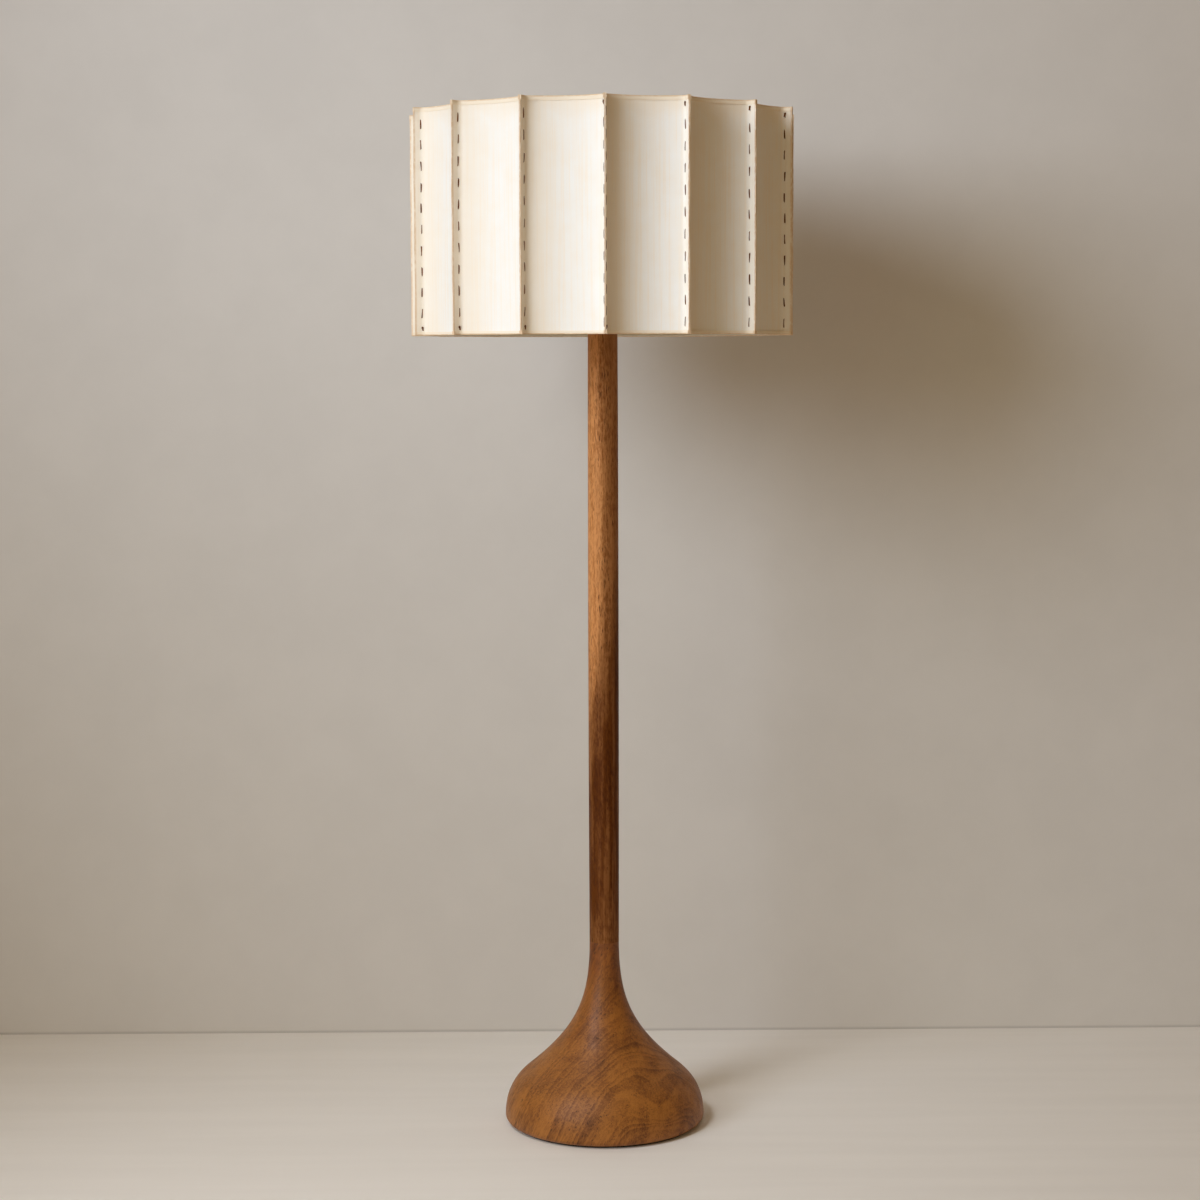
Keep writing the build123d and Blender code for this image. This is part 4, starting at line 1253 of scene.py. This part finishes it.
    def mark_flat_place(self, panel: bpy.types.Object, flat: list[tuple[float, float]]) -> None:
        """Keep where each vertex lies on the cut cloth as the panel's UV map.

        Args:
            panel: The panel, still a flat grid.
            flat: Metres across and up for each vertex.
        """
        corners = np.zeros(len(panel.data.loops), dtype=int)
        panel.data.loops.foreach_get("vertex_index", corners)
        layer = panel.data.uv_layers.active or panel.data.uv_layers.new(name="flat")
        layer.data.foreach_set("uv", np.array(flat)[corners].ravel())

    def seam_point(self, seam: int, aside: float, inwards: float, height: float) -> Vector:
        """A point near a fin.

        Args:
            seam: Which fin.
            aside: Metres from the fin's middle, to its right as seen from outside.
            inwards: Metres in from the crest.
            height: Height above the floor.

        Returns:
            The point, swayed as the fin is.
        """
        angle = self.seam_angle(seam)
        radius = self.crest - inwards
        run = self.plan.half_width - inwards
        shift = aside + self.sway(seam, height) * self.lean(run)
        return Vector(
            (
                radius * math.cos(angle) - shift * math.sin(angle),
                radius * math.sin(angle) + shift * math.cos(angle),
                height,
            )
        )

    def stitch_seam(self, seam: int) -> None:
        """Run one two-ply thread through both layers of a fin, knotted at both ends.

        Args:
            seam: Which fin.
        """
        x, y, _, _ = self.plan.at(self.plan.half_width - self.seam_in)
        half = self.plan.half_angle
        over = x * math.sin(half) - y * math.cos(half) + self.cloth / 2 + self.ply_radius * 0.1
        holes = [self.first_hole + self.stitch_pitch / 2 * hole for hole in range(2 * self.stitches + 1)]
        holes = [self.top - hole + self.chance.uniform(-0.0006, 0.0006) for hole in holes]
        slips = [self.seam_in + self.chance.uniform(-0.0007, 0.0007) for _ in holes]
        path = self.knot(-over, slips[0], self.top - 0.0095) + [(-over * 0.9, slips[0], holes[0] + 0.001)]
        side = 1
        for upper, lower, slip, next_slip in zip(holes, holes[1:], slips, slips[1:]):
            path.append((0.0, slip, upper))
            for share, lift in ((0.08, 0.85), (0.3, 1.0), (0.7, 1.0), (0.92, 0.85)):
                path.append((side * over * lift, slip + (next_slip - slip) * share, upper + (lower - upper) * share))
            side = -side
        path.append((0.0, slips[-1], holes[-1]))
        path += reversed(self.knot(over, slips[-1], self.top - self.height + 0.0105))
        plies = [[self.seam_point(seam, *self.ply_place(step, place, way)) for step, place in enumerate(path)] for way in (-1, 1)]
        thread = self.draw_thread(f"seam_thread_{seam + 1:02d}", plies)
        join_lamp(thread, "shade", "")

    def ply_place(self, step: int, place: tuple[float, float, float], way: int) -> tuple[float, float, float]:
        """Where one ply of the thread runs, wound loosely round the other.

        Args:
            step: How many points along the thread.
            place: The thread's middle there: aside, inwards and height.
            way: -1 or 1 for the first or the second ply.

        Returns:
            The ply's middle, in the same three measures.
        """
        aside, inwards, height = place
        turn = 0.55 * step
        shift = way * self.ply_apart / 2
        return aside + 0.3 * shift * math.sin(turn), inwards + shift * math.cos(turn), height

    def knot(self, aside: float, inwards: float, height: float) -> list[tuple[float, float, float]]:
        """A small coiled knot with a short tail on one face of a fin.

        Args:
            aside: Metres from the fin's middle to its face.
            inwards: Metres in from the crest.
            height: Height of the knot's middle.

        Returns:
            The thread's path from its tail to the knot's end: aside, inwards and height.
        """
        side = 1 if aside > 0 else -1
        path = [(aside, inwards + 0.0012, height - 0.0042), (aside + side * 0.0006, inwards + 0.0004, height - 0.002)]
        for step in range(11):
            turn = FULL_TURN * step / 5
            lift = 0.0003 + 0.0008 * (1 + math.cos(turn)) / 2
            path.append((aside + side * lift, inwards + 0.0009 * math.sin(turn), height - 0.0013 + 0.00026 * step))
        return path

    def draw_thread(self, name: str, plies: Sequence[Sequence[Vector]]) -> bpy.types.Object:
        """Draw a thread along points and make it a mesh.

        Args:
            name: The piece's name.
            plies: Control points of each ply's line.

        Returns:
            The thread.
        """
        deselect_all()
        bpy.ops.curve.primitive_nurbs_path_add()
        thread = bpy.context.object
        thread.name = thread.data.name = name
        thread.data.splines.clear()
        for points in plies:
            line = thread.data.splines.new("NURBS")
            line.points.add(len(points) - 1)
            for knot, point in zip(line.points, points):
                knot.co = (*point, 1.0)
            line.order_u = 3
            line.use_endpoint_u = True
        thread.data.resolution_u = 2
        thread.data.bevel_depth = self.ply_radius
        thread.data.bevel_resolution = 1
        thread.data.use_fill_caps = True
        pick(thread)
        bpy.ops.object.convert(target="MESH")
        settle(thread)
        smooth(thread, 80)
        SewingThread("sewing_thread").dress(thread)
        return thread


# Socket, harp and bulb


@dataclass
class Fittings:
    """The metal and moulded fittings under the shade, and the bulb."""

    def build(self) -> None:
        """Dress every fitting."""
        for finish, nodes in (
            (PLATED_WIRE, ("harp_saddle", "harp", "ferrule_left", "ferrule_right")),
            (BRASS, ("socket_cap", "socket_shell", "terminal_screws", "centre_contact", "harp_stud", "finial")),
            (FIBRE, ("socket_sleeve",)),
            (PHENOLIC, ("socket_core", "switch_key")),
            (CAP_METAL, ("screw_shell", "bulb_cap")),
            (ZINC, ("switch_shaft",)),
            (SOLDER, ("bulb_tip",)),
            (BLACK_GLASS, ("bulb_insulator",)),
            (OPAL_GLASS, ("bulb_globe",)),
        ):
            for node in nodes:
                finish.dress(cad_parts[node])


def main() -> None:
    """Build the room and the lamp."""
    logging.basicConfig(level=logging.INFO, format="%(name)s %(message)s")
    Studio().build()
    Stand().build()
    Fittings().build()
    DrumShade().build()


if __name__ == "__main__":
    main()
